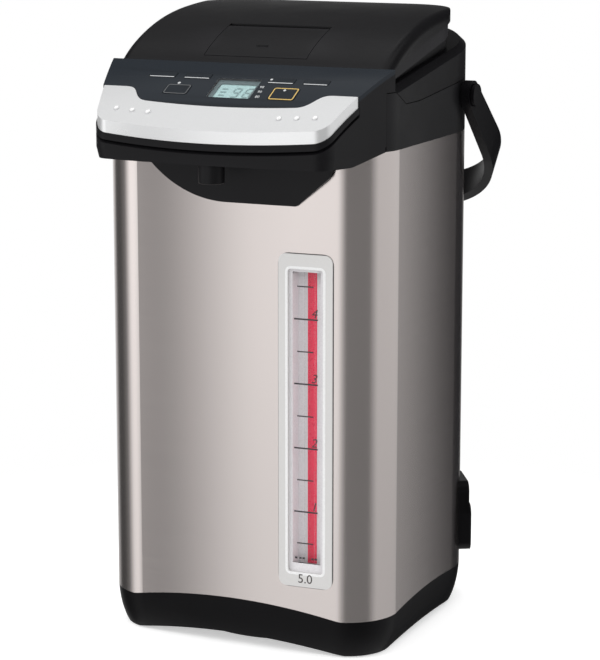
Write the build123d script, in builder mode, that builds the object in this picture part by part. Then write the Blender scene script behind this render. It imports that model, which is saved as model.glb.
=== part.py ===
from build123d import *
import os
from math import atan2, cos, hypot, radians, sin, sqrt

# Electric thermo pot: a D-shaped, stainless-wrapped water boiler with a pump, a front
# dispensing head, a sight gauge, a hinged lid, a bail handle and a swivel base.
# Millimetres.  +Z is up, -Y is the front, and the origin is on the swivel axis at the
# underside of the foot pad.

os.makedirs("parts", exist_ok=True)

# ------------------------------------------------------------------ driving sizes
FIT = 0.3  # gap between pieces that are assembled without touching
RUN = 0.05  # radial clearance of a turning or sliding fit
SKIN = 0.8  # sheet metal of the wrap and the vessels
WALL = 2.8  # moulded plastic wall

# Body plan: a bowed front, straight sides and a broad round back
BODY_WIDTH = 200.0
BODY_FRONT = 97.4  # swivel axis to the middle of the bowed front
BODY_REAR = 115.4  # swivel axis to the back
FRONT_BOW = 4.6  # how far the front falls back over the full width
FRONT_CORNER = 34.0
REAR_CORNER = 78.0

# Heights of the body, at its corners
GROUND_GAP = 0.8
BASE_TOP = 25.5
WRAP_TOP = 328.0
FRONT_ARCH = 7.5  # rise of the base line in the middle of the front
FRONT_ARCH_SPAN = 150.0
SIDE_ARCH = 4.0
SIDE_ARCH_SPAN = 124.0
BASE_TAPER = 6.0  # how far the base draws in at the bottom

# Swivel foot
PAD_RADIUS = 75.0
PAD_THICKNESS = 3.0
DISC_THICKNESS = 5.0
TRACK_RADIUS = 62.0
TRACK_WIDTH = 8.0
SPINDLE_RADIUS = 12.0
PLATE_BOTTOM = 10.5
PLATE_THICKNESS = 2.5
PLATE_BOSS = 4.5
CLIP_THICKNESS = 1.6

# Vessel
POT_RADIUS = 87.25
POT_FLOOR = 54.0
MOUTH_RADIUS = 50.0
MOUTH_HEIGHT = 332.0
NECK_HEIGHT = 16.0
SHOULDER_FALL = 26.0
FLANGE_WIDTH = 9.0
FLOOR_CORNER = 12.0
VACUUM_RADIUS = 94.0
VACUUM_BOTTOM = 62.0
HEATER_RADIUS = 44.0
HEATER_BORE = 12.0
HEATER_THICKNESS = 4.0

# Shoulder, frame and parting seam along the sides
SHOULDER_DECK = 3.0
SEAM_HORN = (-66.8, 364.0)
SEAM_LOW = (-51.0, 355.4)
SEAM_MID = (-28.0, 355.4)
SEAM_REAR = (115.4, 367.5)
SEAM_GAP = 0.5
FRAME_TOP_FRONT = (-60.5, 368.3)
FRAME_TOP_SLOPE = 0.155
FRAME_BEVEL = 4.0
FRAME_FLOOR = 357.6
WELL_RADIUS = 66.0

# Dispensing head
CREASE = (-67.3, 378.5)
NOSE = (-134.4, 342.0)
PANEL_CROWN = 3.0
PANEL_THICKNESS = 2.5
HEAD_SIDE = (BODY_WIDTH / 2 - 3.0, -75.5)
HEAD_CORNER = (BODY_WIDTH / 2 - 20.0, -129.6)
HEAD_CORNER_RADIUS = 13.0
HEAD_BOTTOM = 321.0
HEAD_SIDE_BOTTOM = 328.0
HEAD_DRAFT = 1.5
BAR_BAND = 6.2  # measured square to the panel, like the two below
CARRIER_BAND = 3.0
BAR_GAP = 1.8
BAR_END = -100.0
BAR_SHOULDER = HEAD_CORNER[0] - 13.0
BAR_WAIST = (HEAD_CORNER[0] - 28.0, -112.5)
BAR_MIDDLE = -114.8
BAR_TRAVEL = 1.2
DOT_RADIUS = 1.9
DOT_PLACES = [(HEAD_CORNER[0] - x, y) for x, y in [(34.7, -121.8), (23.1, -121.0), (11.3, -120.0)]]

# Keys on the panel: name, centre x, centre y, width, depth
KEYS = [
    ("unlock_key", 38.6, -100.7, 18.0, 12.4),
    ("reboil_key", -35.6, -100.7, 17.0, 9.8),
    ("timer_key", -52.8, -86.0, 18.4, 6.0),
    ("keep_warm_key", -28.0, -86.0, 18.4, 6.0),
    ("temperature_key", 31.3, -87.6, 18.0, 6.0),
    ("brew_key", 55.2, -87.6, 17.0, 6.0),
]
KEY_TRAVEL = 0.6
KEY_PROUD = 0.2
KEY_SKIRT = 1.2
LCD_CENTRE = (2.4, -96.8)
LCD_SIZE = (30.4, 22.0)
LCD_DEPTH = 4.0
BOARD_DEPTH = 8.0
BOARD_THICKNESS = 1.6
BOARD_SIZE = (140.0, 34.0)

# Spout
NOZZLE_Y = -124.0
NOZZLE_RADIUS = 8.25
NOZZLE_BORE = 5.0
NOZZLE_BOTTOM = 309.0
PIPE_RADIUS = 3.5
PIPE_WALL = 1.0
PIPE_HEIGHT = 336.0
PIPE_BEND = 8.0

# Chin cowl under the head
COWL_BOTTOM = 293.6
COWL_FLAT = (-3.0, 46.0)  # ends of the level stretch of its lower edge
COWL_SWEEP = 68.8  # radius of the lower edge left of that
COWL_SLOPE = (70.0, 20.0)  # where the right edge turns steep: x, and height over the bottom
COWL_FLARE = 0.33  # how far the steep edge leans outwards for each mm up
COWL_CORNER = 4.0
COWL_PROUD_LOW = 1.2
COWL_PROUD_TOP = 6.0

# Sight gauge
GAUGE_LEFT = 33.3
GAUGE_RIGHT = 69.9
GAUGE_LOW = 46.9
GAUGE_HIGH = 263.7
GAUGE_BORDER = 6.4
GAUGE_END = 9.6
GAUGE_CORNER = 5.0
GAUGE_PROUD = 0.9
TUBE_SETBACK = 2.6  # body's front to the front of the tube
TUBE_RADIUS = 3.5
TUBE_WALL = 1.0
TUBE_LOW = 43.5
TUBE_HIGH = 276.0
TRAY_HALF = 9.6
TRAY_WALL = 0.8
STRIPE_WIDTH = 6.2
STRIPE_THICKNESS = 0.3
VALVE_RADIUS = 7.0
VALVE_LENGTH = 24.0

# Pump
PUMP_Y = -52.0
MOTOR_RADIUS = 18.0
MOTOR_HEIGHT = 18.0
CHAMBER_RADIUS = 21.0
CHAMBER_HEIGHT = 13.0
SHAFT_RADIUS = 2.0
IMPELLER_RADIUS = 14.0
SPIGOT_RADIUS = 6.0

# Electronics in the base
MAIN_BOARD_SIZE = (104.0, 56.0)
MAIN_BOARD_Y = 58.0
STANDOFF = 6.0

# Power inlet on the rear right corner
INLET_ANGLE = 31.0
INLET_WIDTH = 40.0
INLET_LOW = 34.0
INLET_HIGH = 83.0
INLET_STEP = 63.0
INLET_PROUD = 6.0
INLET_RECESS = 7.0

# Lid
LID_HALF = BODY_WIDTH / 2 - 4.0
LID_REAR = 70.0
LID_REAR_CORNER = 45.0
LID_FRONT = -66.8
LID_REAR_TOP = 409.6
LID_LOW_FRONT = (-64.8, 369.6)
LID_LOW_REAR = 398.4
LID_WALL = 2.5
HINGE_Y = 78.0
HINGE_Z = 391.0
HINGE_PIN_RADIUS = 2.5
KNUCKLE_RADIUS = 5.5
KNUCKLE_WIDTH = 16.0
KNUCKLE_X = 44.0
PLUG_TOP_RADIUS = 62.0
PLUG_LOW_RADIUS = 50.0
GASKET_RADIUS = 53.5
GASKET_THICKNESS = 3.0

# Lid lever and latch
LEVER_HALF = 36.0
LEVER_FRONT = -61.6
LEVER_REAR = -26.0
LEVER_PIVOT = (-27.5, 392.6)
LEVER_PIN_RADIUS = 1.2
LATCH_WIDTH = 24.0
LATCH_THICKNESS = 2.4
LATCH_LENGTH = 26.0

# Bail handle
BAIL_PIVOT = (51.0, 352.0)
BAIL_HANG = 41.6  # degrees below the horizontal, at rest
BAIL_REACH = 119.8
BAIL_THICKNESS = 6.0
BAIL_GAP = 0.6
BAIL_HALF = BODY_WIDTH / 2 + BAIL_GAP + BAIL_THICKNESS
BAIL_CORNER = 67.6
BAIL_WIDTH = 24.0
BAIL_HUB_RADIUS = 9.6
PIVOT_RADIUS = 5.0
PIVOT_HEAD_RADIUS = 7.5

# ------------------------------------------------------------------ worked-out places
PLATE_TOP = PLATE_BOTTOM + PLATE_THICKNESS
DISC_TOP = PAD_THICKNESS + DISC_THICKNESS
DECK_TOP = WRAP_TOP + SHOULDER_DECK
POT_NECK = MOUTH_HEIGHT - NECK_HEIGHT
POT_SHOULDER = POT_NECK - SHOULDER_FALL
LEDGE_INSET = BASE_TAPER + 2.2
FAR = WRAP_TOP + 120.0  # longer than anything a cutting block has to pass
FROM_BELOW = (Align.CENTER, Align.CENTER, Align.MIN)
FROM_BEHIND = (Align.CENTER, Align.MAX, Align.CENTER)


def body_plan(height, inset=0.0):
    """The body's outline at a height, drawn in by inset."""
    half = BODY_WIDTH / 2 - inset
    middle = -(BODY_FRONT - inset)
    corner = middle + FRONT_BOW
    rear = BODY_REAR - inset
    with BuildSketch(Plane.XY.offset(height), mode=Mode.PRIVATE) as plan:
        with BuildLine():
            ThreePointArc((-half, corner), (0, middle), (half, corner))
            Polyline((half, corner), (half, rear), (-half, rear), (-half, corner))
        make_face()
        fillet(plan.vertices().group_by(Axis.Y)[0], max(FRONT_CORNER - inset, 1.0))
        fillet(plan.vertices().group_by(Axis.Y)[-1], max(REAR_CORNER - inset, 1.0))
    return plan.sketch


def body_front(x, inset=0.0):
    """The y of the bowed front at a distance x from the middle."""
    radius = ((BODY_WIDTH / 2) ** 2 + FRONT_BOW**2) / (2 * FRONT_BOW)
    return -BODY_FRONT + inset + radius - sqrt(radius**2 - x**2)


TUBE_X = (GAUGE_LEFT + GAUGE_RIGHT) / 2
TUBE_Y = body_front(TUBE_X) + TUBE_SETBACK + TUBE_RADIUS
VALVE_Y = body_front(TUBE_X) + SKIN + 0.5 + VALVE_RADIUS


def head_plan(height, inset=0.0, rear=CREASE[0]):
    """The dispensing head's outline at a height, drawn in by inset, from y = rear forward."""
    taper = (HEAD_SIDE[0] - HEAD_CORNER[0]) / (HEAD_SIDE[1] - HEAD_CORNER[1])
    corner_x = HEAD_CORNER[0] - inset
    corner_y = HEAD_CORNER[1] + inset
    rear_x = corner_x + taper * (rear - corner_y)
    with BuildSketch(Plane.XY.offset(height), mode=Mode.PRIVATE) as plan:
        with BuildLine():
            ThreePointArc((-corner_x, corner_y), (0, NOSE[0] + inset), (corner_x, corner_y))
            Polyline((corner_x, corner_y), (rear_x, rear), (-rear_x, rear), (-corner_x, corner_y))
        make_face()
        fillet(plan.vertices().group_by(Axis.Y)[0], max(HEAD_CORNER_RADIUS - inset, 1.0))
    return plan.sketch


def side_block(points, half=BODY_WIDTH):
    """A block with the given side outline, as wide as twice half."""
    with BuildPart(mode=Mode.PRIVATE) as block:
        with BuildSketch(Plane.YZ):
            with BuildLine():
                Polyline(*points, close=True)
            make_face()
        extrude(amount=half, both=True)
    return block.part


def arched_block(height):
    """Everything below the arched base line whose corners stand at height."""
    low = height - FAR
    with BuildPart(mode=Mode.PRIVATE) as block:
        with BuildSketch(Plane.XZ):
            with BuildLine():
                half = FRONT_ARCH_SPAN / 2
                below = [(half, height), (FAR, height), (FAR, low), (-FAR, low), (-FAR, height), (-half, height)]
                ThreePointArc((-half, height), (0, height + FRONT_ARCH), (half, height))
                Polyline(*below)
            make_face()
        extrude(amount=FAR)
        with BuildSketch(Plane.YZ):
            with BuildLine():
                half = SIDE_ARCH_SPAN / 2
                below = [(half, height), (FAR, height), (FAR, low), (-FAR, low), (-FAR, height), (-half, height)]
                ThreePointArc((-half, height), (0, height + SIDE_ARCH), (half, height))
                Polyline(*below)
            make_face()
        extrude(amount=FAR, both=True)
    return block.part


# The panel is a shallow barrel: an arc in the side view, straight across
chord = hypot(CREASE[0] - NOSE[0], CREASE[1] - NOSE[1])
PANEL_RADIUS = (chord**2 / 4 + PANEL_CROWN**2) / (2 * PANEL_CROWN)
along_y = (CREASE[0] - NOSE[0]) / chord
along_z = (CREASE[1] - NOSE[1]) / chord
PANEL_AXIS_Y = (CREASE[0] + NOSE[0]) / 2 + along_z * (PANEL_RADIUS - PANEL_CROWN)
PANEL_AXIS_Z = (CREASE[1] + NOSE[1]) / 2 - along_y * (PANEL_RADIUS - PANEL_CROWN)


def panel_height(y, depth=0.0):
    """The height of the panel surface at y, sunk by depth."""
    return PANEL_AXIS_Z + sqrt((PANEL_RADIUS - depth) ** 2 - (y - PANEL_AXIS_Y) ** 2)


def panel_plane(x, y, depth=0.0):
    """The plane that touches the panel over (x, y), sunk by depth along its normal."""
    normal = Vector(0, y - PANEL_AXIS_Y, panel_height(y) - PANEL_AXIS_Z).normalized()
    surface = Vector(x, y, panel_height(y))
    return Plane(origin=surface - normal * depth, x_dir=(1, 0, 0), z_dir=normal)


def under_panel(depth, front=-160.0, rear=-40.0):
    """Everything below the panel surface sunk by depth."""
    middle = (front + rear) / 2
    low = HEAD_BOTTOM - 60
    with BuildPart(mode=Mode.PRIVATE) as block:
        with BuildSketch(Plane.YZ):
            with BuildLine():
                front_end = (front, panel_height(front, depth))
                rear_end = (rear, panel_height(rear, depth))
                ThreePointArc(front_end, (middle, panel_height(middle, depth)), rear_end)
                Polyline(rear_end, (rear, low), (front, low), front_end)
            make_face()
        extrude(amount=BODY_WIDTH, both=True)
    return block.part


def bar_plan(height, gap=0.0):
    """The front of the head in plan: what the dispense bar covers, drawn forward by gap."""
    waist_x, waist_y = BAR_WAIST
    end_y = BAR_END - gap
    with BuildSketch(Plane.XY.offset(height), mode=Mode.PRIVATE) as plan:
        with BuildLine():
            ThreePointArc((-waist_x, waist_y - gap), (0, BAR_MIDDLE - gap), (waist_x, waist_y - gap))
            Spline(
                (waist_x, waist_y - gap),
                (BAR_SHOULDER, end_y - 1.0),
                (BAR_SHOULDER + 6, end_y),
                tangents=[(1, 0.12), (1, 0)],
            )
            Polyline(
                (BAR_SHOULDER + 6, end_y),
                (FAR, end_y),
                (FAR, -FAR),
                (-FAR, -FAR),
                (-FAR, end_y),
                (-BAR_SHOULDER - 6, end_y),
            )
            Spline(
                (-BAR_SHOULDER - 6, end_y),
                (-BAR_SHOULDER, end_y - 1.0),
                (-waist_x, waist_y - gap),
                tangents=[(1, 0), (1, -0.12)],
            )
        make_face()
    return plan.sketch


def front_prism(left, right, low, high, corner, reach=BODY_FRONT + 20):
    """An upright rounded rectangle in the front view, run back from the front."""
    centre = ((left + right) / 2, (low + high) / 2)
    with BuildPart(mode=Mode.PRIVATE) as prism:
        with BuildSketch(Plane.XZ.offset(reach)):
            with Locations(centre):
                RectangleRounded(right - left, high - low, corner)
        extrude(amount=-60)
    return prism.part


# ------------------------------------------------------------------ swivel foot
with BuildPart() as swivel_pad:
    with BuildSketch():
        Circle(PAD_RADIUS)
    extrude(amount=PAD_THICKNESS)
    chamfer(swivel_pad.edges().group_by(Axis.Z)[-1], 0.6)
swivel_pad.part.label = "swivel_pad"
export_step(swivel_pad.part, "parts/swivel_pad.step")

CLIP_Z = PLATE_BOTTOM + PLATE_BOSS + 0.2
with BuildPart() as swivel_disc:
    with BuildSketch(Plane.XY.offset(PAD_THICKNESS)):
        Circle(PAD_RADIUS)
    extrude(amount=DISC_THICKNESS)
    with BuildSketch(Plane.XY.offset(DISC_TOP)):
        Circle(TRACK_RADIUS + TRACK_WIDTH / 2)
        Circle(TRACK_RADIUS - TRACK_WIDTH / 2, mode=Mode.SUBTRACT)
    extrude(amount=PLATE_BOTTOM - DISC_TOP - 0.2)
    with BuildSketch(Plane.XY.offset(DISC_TOP)):
        Circle(SPINDLE_RADIUS)
    extrude(amount=CLIP_Z + CLIP_THICKNESS + 1.4 - DISC_TOP)
    with BuildSketch(Plane.XY.offset(CLIP_Z)):
        Circle(SPINDLE_RADIUS + 1)
        Circle(SPINDLE_RADIUS - 1.2, mode=Mode.SUBTRACT)
    extrude(amount=CLIP_THICKNESS, mode=Mode.SUBTRACT)
    with BuildSketch(Plane.XY.offset(DISC_TOP - 2)):
        with PolarLocations(PAD_RADIUS / 2, 6):
            SlotOverall(22, 8, rotation=90)
    extrude(amount=2, mode=Mode.SUBTRACT)
swivel_disc.part.label = "swivel_disc"
export_step(swivel_disc.part, "parts/swivel_disc.step")

with BuildPart() as swivel_clip:
    with BuildSketch(Plane.XY.offset(CLIP_Z + 0.1)):
        Circle(SPINDLE_RADIUS + 5)
        Circle(SPINDLE_RADIUS - 1.2 + RUN, mode=Mode.SUBTRACT)
        with Locations((SPINDLE_RADIUS + 2, 0)):
            Rectangle(10, 7, mode=Mode.SUBTRACT)
    extrude(amount=CLIP_THICKNESS - 0.2)
swivel_clip.part.label = "swivel_clip"
export_step(swivel_clip.part, "parts/swivel_clip.step")

# ------------------------------------------------------------------ base
LEDGE_TOP = PLATE_TOP + 3.0
SCREW_INSET = 17.0
SCREW_PLACES = [(side * (BODY_WIDTH / 2 - SCREW_INSET), y) for y in (-50, 38) for side in (-1, 1)]
SCREW_RADIUS = 2.0

with BuildPart() as base_housing:
    loft(
        [
            body_plan(GROUND_GAP, BASE_TAPER),
            body_plan(GROUND_GAP + 0.3 * (BASE_TOP - GROUND_GAP), 0.5 * BASE_TAPER),
            body_plan(GROUND_GAP + 0.65 * (BASE_TOP - GROUND_GAP), 0.16 * BASE_TAPER),
            body_plan(BASE_TOP),
        ]
    )
    extrude(body_plan(BASE_TOP), amount=FRONT_ARCH + 2)
    add(arched_block(BASE_TOP), mode=Mode.INTERSECT)
    extrude(body_plan(BASE_TOP - 4, SKIN + 0.2), amount=FRONT_ARCH + 6)
    add(arched_block(GROUND_GAP), mode=Mode.SUBTRACT)
    extrude(body_plan(-1, LEDGE_INSET), amount=PLATE_TOP + 1, mode=Mode.SUBTRACT)
    extrude(body_plan(PLATE_TOP - 1, LEDGE_INSET + 6), amount=FAR, mode=Mode.SUBTRACT)
    extrude(body_plan(LEDGE_TOP, SKIN + 2.4), amount=FAR, mode=Mode.SUBTRACT)
    with Locations(*[Location((x, y, PLATE_TOP)) for x, y in SCREW_PLACES]):
        Cylinder(5, 9, align=FROM_BELOW)
        Cylinder(SCREW_RADIUS - 0.2, 8, align=FROM_BELOW, mode=Mode.SUBTRACT)
base_housing.part.label = "base_housing"
export_step(base_housing.part, "parts/base_housing.step")

BOARD_PLACES = [
    (sx * (MAIN_BOARD_SIZE[0] / 2 - 5), MAIN_BOARD_Y + sy * (MAIN_BOARD_SIZE[1] / 2 - 5))
    for sx in (-1, 1)
    for sy in (-1, 1)
]
with BuildPart() as bottom_plate:
    extrude(body_plan(PLATE_BOTTOM, LEDGE_INSET + FIT), amount=PLATE_THICKNESS)
    with BuildSketch(Plane.XY.offset(PLATE_BOTTOM)):
        Circle(SPINDLE_RADIUS + 7)
    extrude(amount=PLATE_BOSS)
    with BuildSketch(Plane.XY.offset(PLATE_BOTTOM - 1)):
        Circle(SPINDLE_RADIUS + RUN)
    extrude(amount=PLATE_BOSS + 2, mode=Mode.SUBTRACT)
    with BuildSketch(Plane.XY.offset(PLATE_BOTTOM - 1)):
        with Locations(*SCREW_PLACES):
            Circle(SCREW_RADIUS + 0.2)
    extrude(amount=PLATE_THICKNESS + 2, mode=Mode.SUBTRACT)
    with BuildSketch(Plane.XY.offset(PLATE_TOP)):
        with Locations(*BOARD_PLACES):
            Circle(3)
    extrude(amount=STANDOFF)
    with BuildSketch(Plane.XY.offset(PLATE_TOP)):
        with Locations((0, PUMP_Y)):
            Circle(MOTOR_RADIUS + 3.5)
            Circle(MOTOR_RADIUS + FIT, mode=Mode.SUBTRACT)
    extrude(amount=5)
    with BuildSketch(Plane.XY.offset(PLATE_BOTTOM - 1)):
        with PolarLocations(SPINDLE_RADIUS + 22, 8, start_angle=22.5):
            SlotOverall(12, 3)
    extrude(amount=PLATE_THICKNESS + 2, mode=Mode.SUBTRACT)
bottom_plate.part.label = "bottom_plate"
export_step(bottom_plate.part, "parts/bottom_plate.step")

with BuildPart() as bottom_screws:
    with Locations(*[Location((x, y, PLATE_BOTTOM)) for x, y in SCREW_PLACES]):
        Cylinder(SCREW_RADIUS - 0.25, 9, align=FROM_BELOW)
        Cylinder(3.6, 1.8, align=(Align.CENTER, Align.CENTER, Align.MAX))
bottom_screws.part.label = "bottom_screws"
export_step(bottom_screws.part, "parts/bottom_screws.step")

# ------------------------------------------------------------------ power inlet frame
ANGLE = radians(INLET_ANGLE)
INLET_OUT = Vector(cos(ANGLE), sin(ANGLE), 0)
INLET_CENTRE = Vector(BODY_WIDTH / 2 - REAR_CORNER, BODY_REAR - REAR_CORNER, 0) + INLET_OUT * REAR_CORNER
INLET_SAG = REAR_CORNER - sqrt(REAR_CORNER**2 - (INLET_WIDTH / 2) ** 2)


def inlet_plane(out):
    """The upright plane square to the inlet, out from the body's skin."""
    origin = INLET_CENTRE + INLET_OUT * out
    return Plane(origin=origin, x_dir=Vector(0, 0, 1), z_dir=INLET_OUT)


def inlet_block(low, high, width, back, front, corner):
    """A rounded block on the inlet's axis, between two heights and two depths."""
    with BuildPart(mode=Mode.PRIVATE) as block:
        with BuildSketch(inlet_plane(back)):
            with Locations(((low + high) / 2, 0)):
                RectangleRounded(high - low, width, corner)
        extrude(amount=front - back)
    return block.part


# ------------------------------------------------------------------ stainless wrap
with BuildPart() as outer_wrap:
    extrude(body_plan(BASE_TOP - 6), amount=WRAP_TOP - BASE_TOP + 6)
    extrude(body_plan(BASE_TOP - 7, SKIN), amount=FAR, mode=Mode.SUBTRACT)
    add(arched_block(BASE_TOP), mode=Mode.SUBTRACT)
    add(
        front_prism(GAUGE_LEFT + 3, GAUGE_RIGHT - 3, GAUGE_LOW + 4, GAUGE_HIGH - 4, GAUGE_CORNER - 2),
        mode=Mode.SUBTRACT,
    )
    add(
        inlet_block(INLET_LOW + 1.5, INLET_HIGH - 1.5, INLET_WIDTH - 3, -30, 20, 5),
        mode=Mode.SUBTRACT,
    )
outer_wrap.part.label = "outer_wrap"
export_step(outer_wrap.part, "parts/outer_wrap.step")

# ------------------------------------------------------------------ vessel


def vessel_face(radius, floor, shoulder, mouth, slope_top, top, corner):
    """Half the outline of a round vessel with a drawn-in mouth, in the XZ plane."""
    with BuildSketch(Plane.XZ, mode=Mode.PRIVATE) as face:
        with BuildLine():
            Polyline(
                (0, floor),
                (radius, floor),
                (radius, shoulder),
                (mouth, slope_top),
                (mouth, top),
                (0, top),
                close=True,
            )
        make_face()
        fillet(face.vertices().sort_by_distance((radius, floor))[0], corner)
        fillet(face.vertices().sort_by_distance((radius, shoulder))[0], 14)
        fillet(face.vertices().sort_by_distance((mouth, slope_top))[0], 2)
    return face.sketch


with BuildPart() as inner_pot:
    add(
        vessel_face(
            POT_RADIUS + SKIN,
            POT_FLOOR - SKIN,
            POT_SHOULDER,
            MOUTH_RADIUS + SKIN,
            POT_NECK,
            MOUTH_HEIGHT,
            FLOOR_CORNER + SKIN,
        )
    )
    revolve(axis=Axis.Z)
    with BuildSketch(Plane.XY.offset(MOUTH_HEIGHT - SKIN)):
        Circle(MOUTH_RADIUS + FLANGE_WIDTH)
    extrude(amount=SKIN)
    with BuildSketch(Plane.XY.offset(POT_FLOOR - SKIN - 3)):
        with Locations((0, PUMP_Y)):
            Circle(SPIGOT_RADIUS)
    extrude(amount=3 + SKIN)
    add(vessel_face(POT_RADIUS, POT_FLOOR, POT_SHOULDER, MOUTH_RADIUS, POT_NECK, MOUTH_HEIGHT, FLOOR_CORNER))
    revolve(axis=Axis.Z, mode=Mode.SUBTRACT)
    with BuildSketch(Plane.XY.offset(POT_FLOOR - 6)):
        with Locations((0, PUMP_Y)):
            Circle(SPIGOT_RADIUS - 1)
    extrude(amount=8, mode=Mode.SUBTRACT)
inner_pot.part.label = "inner_pot"
export_step(inner_pot.part, "parts/inner_pot.step")

VACUUM_TOP = DECK_TOP - 6
with BuildPart() as vacuum_shell:
    add(
        vessel_face(
            VACUUM_RADIUS,
            VACUUM_BOTTOM,
            POT_SHOULDER + 4,
            MOUTH_RADIUS + SKIN + 3,
            VACUUM_TOP - 3,
            VACUUM_TOP,
            6,
        )
    )
    revolve(axis=Axis.Z)
    add(
        vessel_face(
            VACUUM_RADIUS - SKIN,
            VACUUM_BOTTOM + SKIN,
            POT_SHOULDER + 3.6,
            MOUTH_RADIUS + 3,
            VACUUM_TOP - 4,
            VACUUM_TOP,
            5,
        )
    )
    revolve(axis=Axis.Z, mode=Mode.SUBTRACT)
    with BuildSketch(Plane.XY.offset(VACUUM_BOTTOM - 1)):
        Circle(POT_RADIUS + SKIN + 0.1)
    extrude(amount=20, mode=Mode.SUBTRACT)
vacuum_shell.part.label = "vacuum_shell"
export_step(vacuum_shell.part, "parts/vacuum_shell.step")

with BuildPart() as neck_seal:
    with BuildSketch(Plane.XY.offset(VACUUM_TOP + 0.2)):
        Circle(MOUTH_RADIUS + SKIN + 5)
        Circle(MOUTH_RADIUS + SKIN + 0.1, mode=Mode.SUBTRACT)
    extrude(amount=MOUTH_HEIGHT - SKIN - VACUUM_TOP - 0.3)
neck_seal.part.label = "neck_seal"
export_step(neck_seal.part, "parts/neck_seal.step")

HEATER_TOP = POT_FLOOR - SKIN - 0.1
with BuildPart() as heater_plate:
    with BuildSketch(Plane.XY.offset(HEATER_TOP - HEATER_THICKNESS)):
        Circle(HEATER_RADIUS)
        Circle(HEATER_BORE, mode=Mode.SUBTRACT)
    extrude(amount=HEATER_THICKNESS)
    with BuildSketch(Plane.XY.offset(HEATER_TOP - HEATER_THICKNESS - 2)):
        Circle(HEATER_RADIUS - 8)
        Circle(HEATER_RADIUS - 14, mode=Mode.SUBTRACT)
    extrude(amount=2)
    with BuildSketch(Plane.XY.offset(HEATER_TOP - HEATER_THICKNESS - 5)):
        with Locations((-26, 18), (26, 18)):
            Rectangle(6, 3)
    extrude(amount=5)
heater_plate.part.label = "heater_plate"
export_step(heater_plate.part, "parts/heater_plate.step")

with BuildPart() as temperature_sensor:
    with BuildSketch(Plane.XY.offset(HEATER_TOP - 9)):
        Circle(HEATER_BORE - 1.5)
    extrude(amount=9)
    with BuildSketch(Plane.XY.offset(HEATER_TOP - 13)):
        Rectangle(8, 5)
    extrude(amount=4)
temperature_sensor.part.label = "temperature_sensor"
export_step(temperature_sensor.part, "parts/temperature_sensor.step")

with BuildPart() as thermal_cutout:
    with BuildSketch(Plane.XY.offset(HEATER_TOP - HEATER_THICKNESS - 7.1)):
        with Locations((0, HEATER_RADIUS - 22)):
            Circle(7)
    extrude(amount=7)
    with BuildSketch(Plane.XY.offset(HEATER_TOP - HEATER_THICKNESS - 4.1)):
        with Locations((0, HEATER_RADIUS - 22)):
            Rectangle(22, 5)
    extrude(amount=1.2)
thermal_cutout.part.label = "thermal_cutout"
export_step(thermal_cutout.part, "parts/thermal_cutout.step")

# ------------------------------------------------------------------ pump
PUMP = (0, PUMP_Y)
MOTOR_LOW = PLATE_TOP + 0.2
CHAMBER_LOW = MOTOR_LOW + MOTOR_HEIGHT
CHAMBER_TOP = CHAMBER_LOW + CHAMBER_HEIGHT
with BuildPart() as motor_case:
    with BuildSketch(Plane.XY.offset(MOTOR_LOW)):
        with Locations(PUMP):
            Circle(MOTOR_RADIUS)
    extrude(amount=MOTOR_HEIGHT)
    with BuildSketch(Plane.XY.offset(MOTOR_LOW + 2)):
        with Locations(PUMP):
            Circle(MOTOR_RADIUS - 2)
    extrude(amount=MOTOR_HEIGHT, mode=Mode.SUBTRACT)
    with BuildSketch(Plane.XY.offset(MOTOR_LOW + 2)):
        with Locations(PUMP):
            Circle(SHAFT_RADIUS + 3)
    extrude(amount=3)
    with BuildSketch(Plane.XY.offset(MOTOR_LOW + 1)):
        with Locations(PUMP):
            Circle(SHAFT_RADIUS + RUN)
    extrude(amount=10, mode=Mode.SUBTRACT)
motor_case.part.label = "motor_case"
export_step(motor_case.part, "parts/motor_case.step")

with BuildPart() as motor_rotor:
    with BuildSketch(Plane.XY.offset(MOTOR_LOW + 1.3)):
        with Locations(PUMP):
            Circle(SHAFT_RADIUS)
    extrude(amount=MOTOR_HEIGHT - 3.5)
    with BuildSketch(Plane.XY.offset(MOTOR_LOW + 6)):
        with Locations(PUMP):
            Circle(MOTOR_RADIUS - 5)
    extrude(amount=MOTOR_HEIGHT - 9)
    with BuildSketch(Plane.XY.offset(CHAMBER_LOW - 3)):
        with Locations(PUMP):
            with PolarLocations(8, 4):
                Rectangle(4, 6)
    extrude(amount=2)
motor_rotor.part.label = "motor_rotor"
export_step(motor_rotor.part, "parts/motor_rotor.step")

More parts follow.
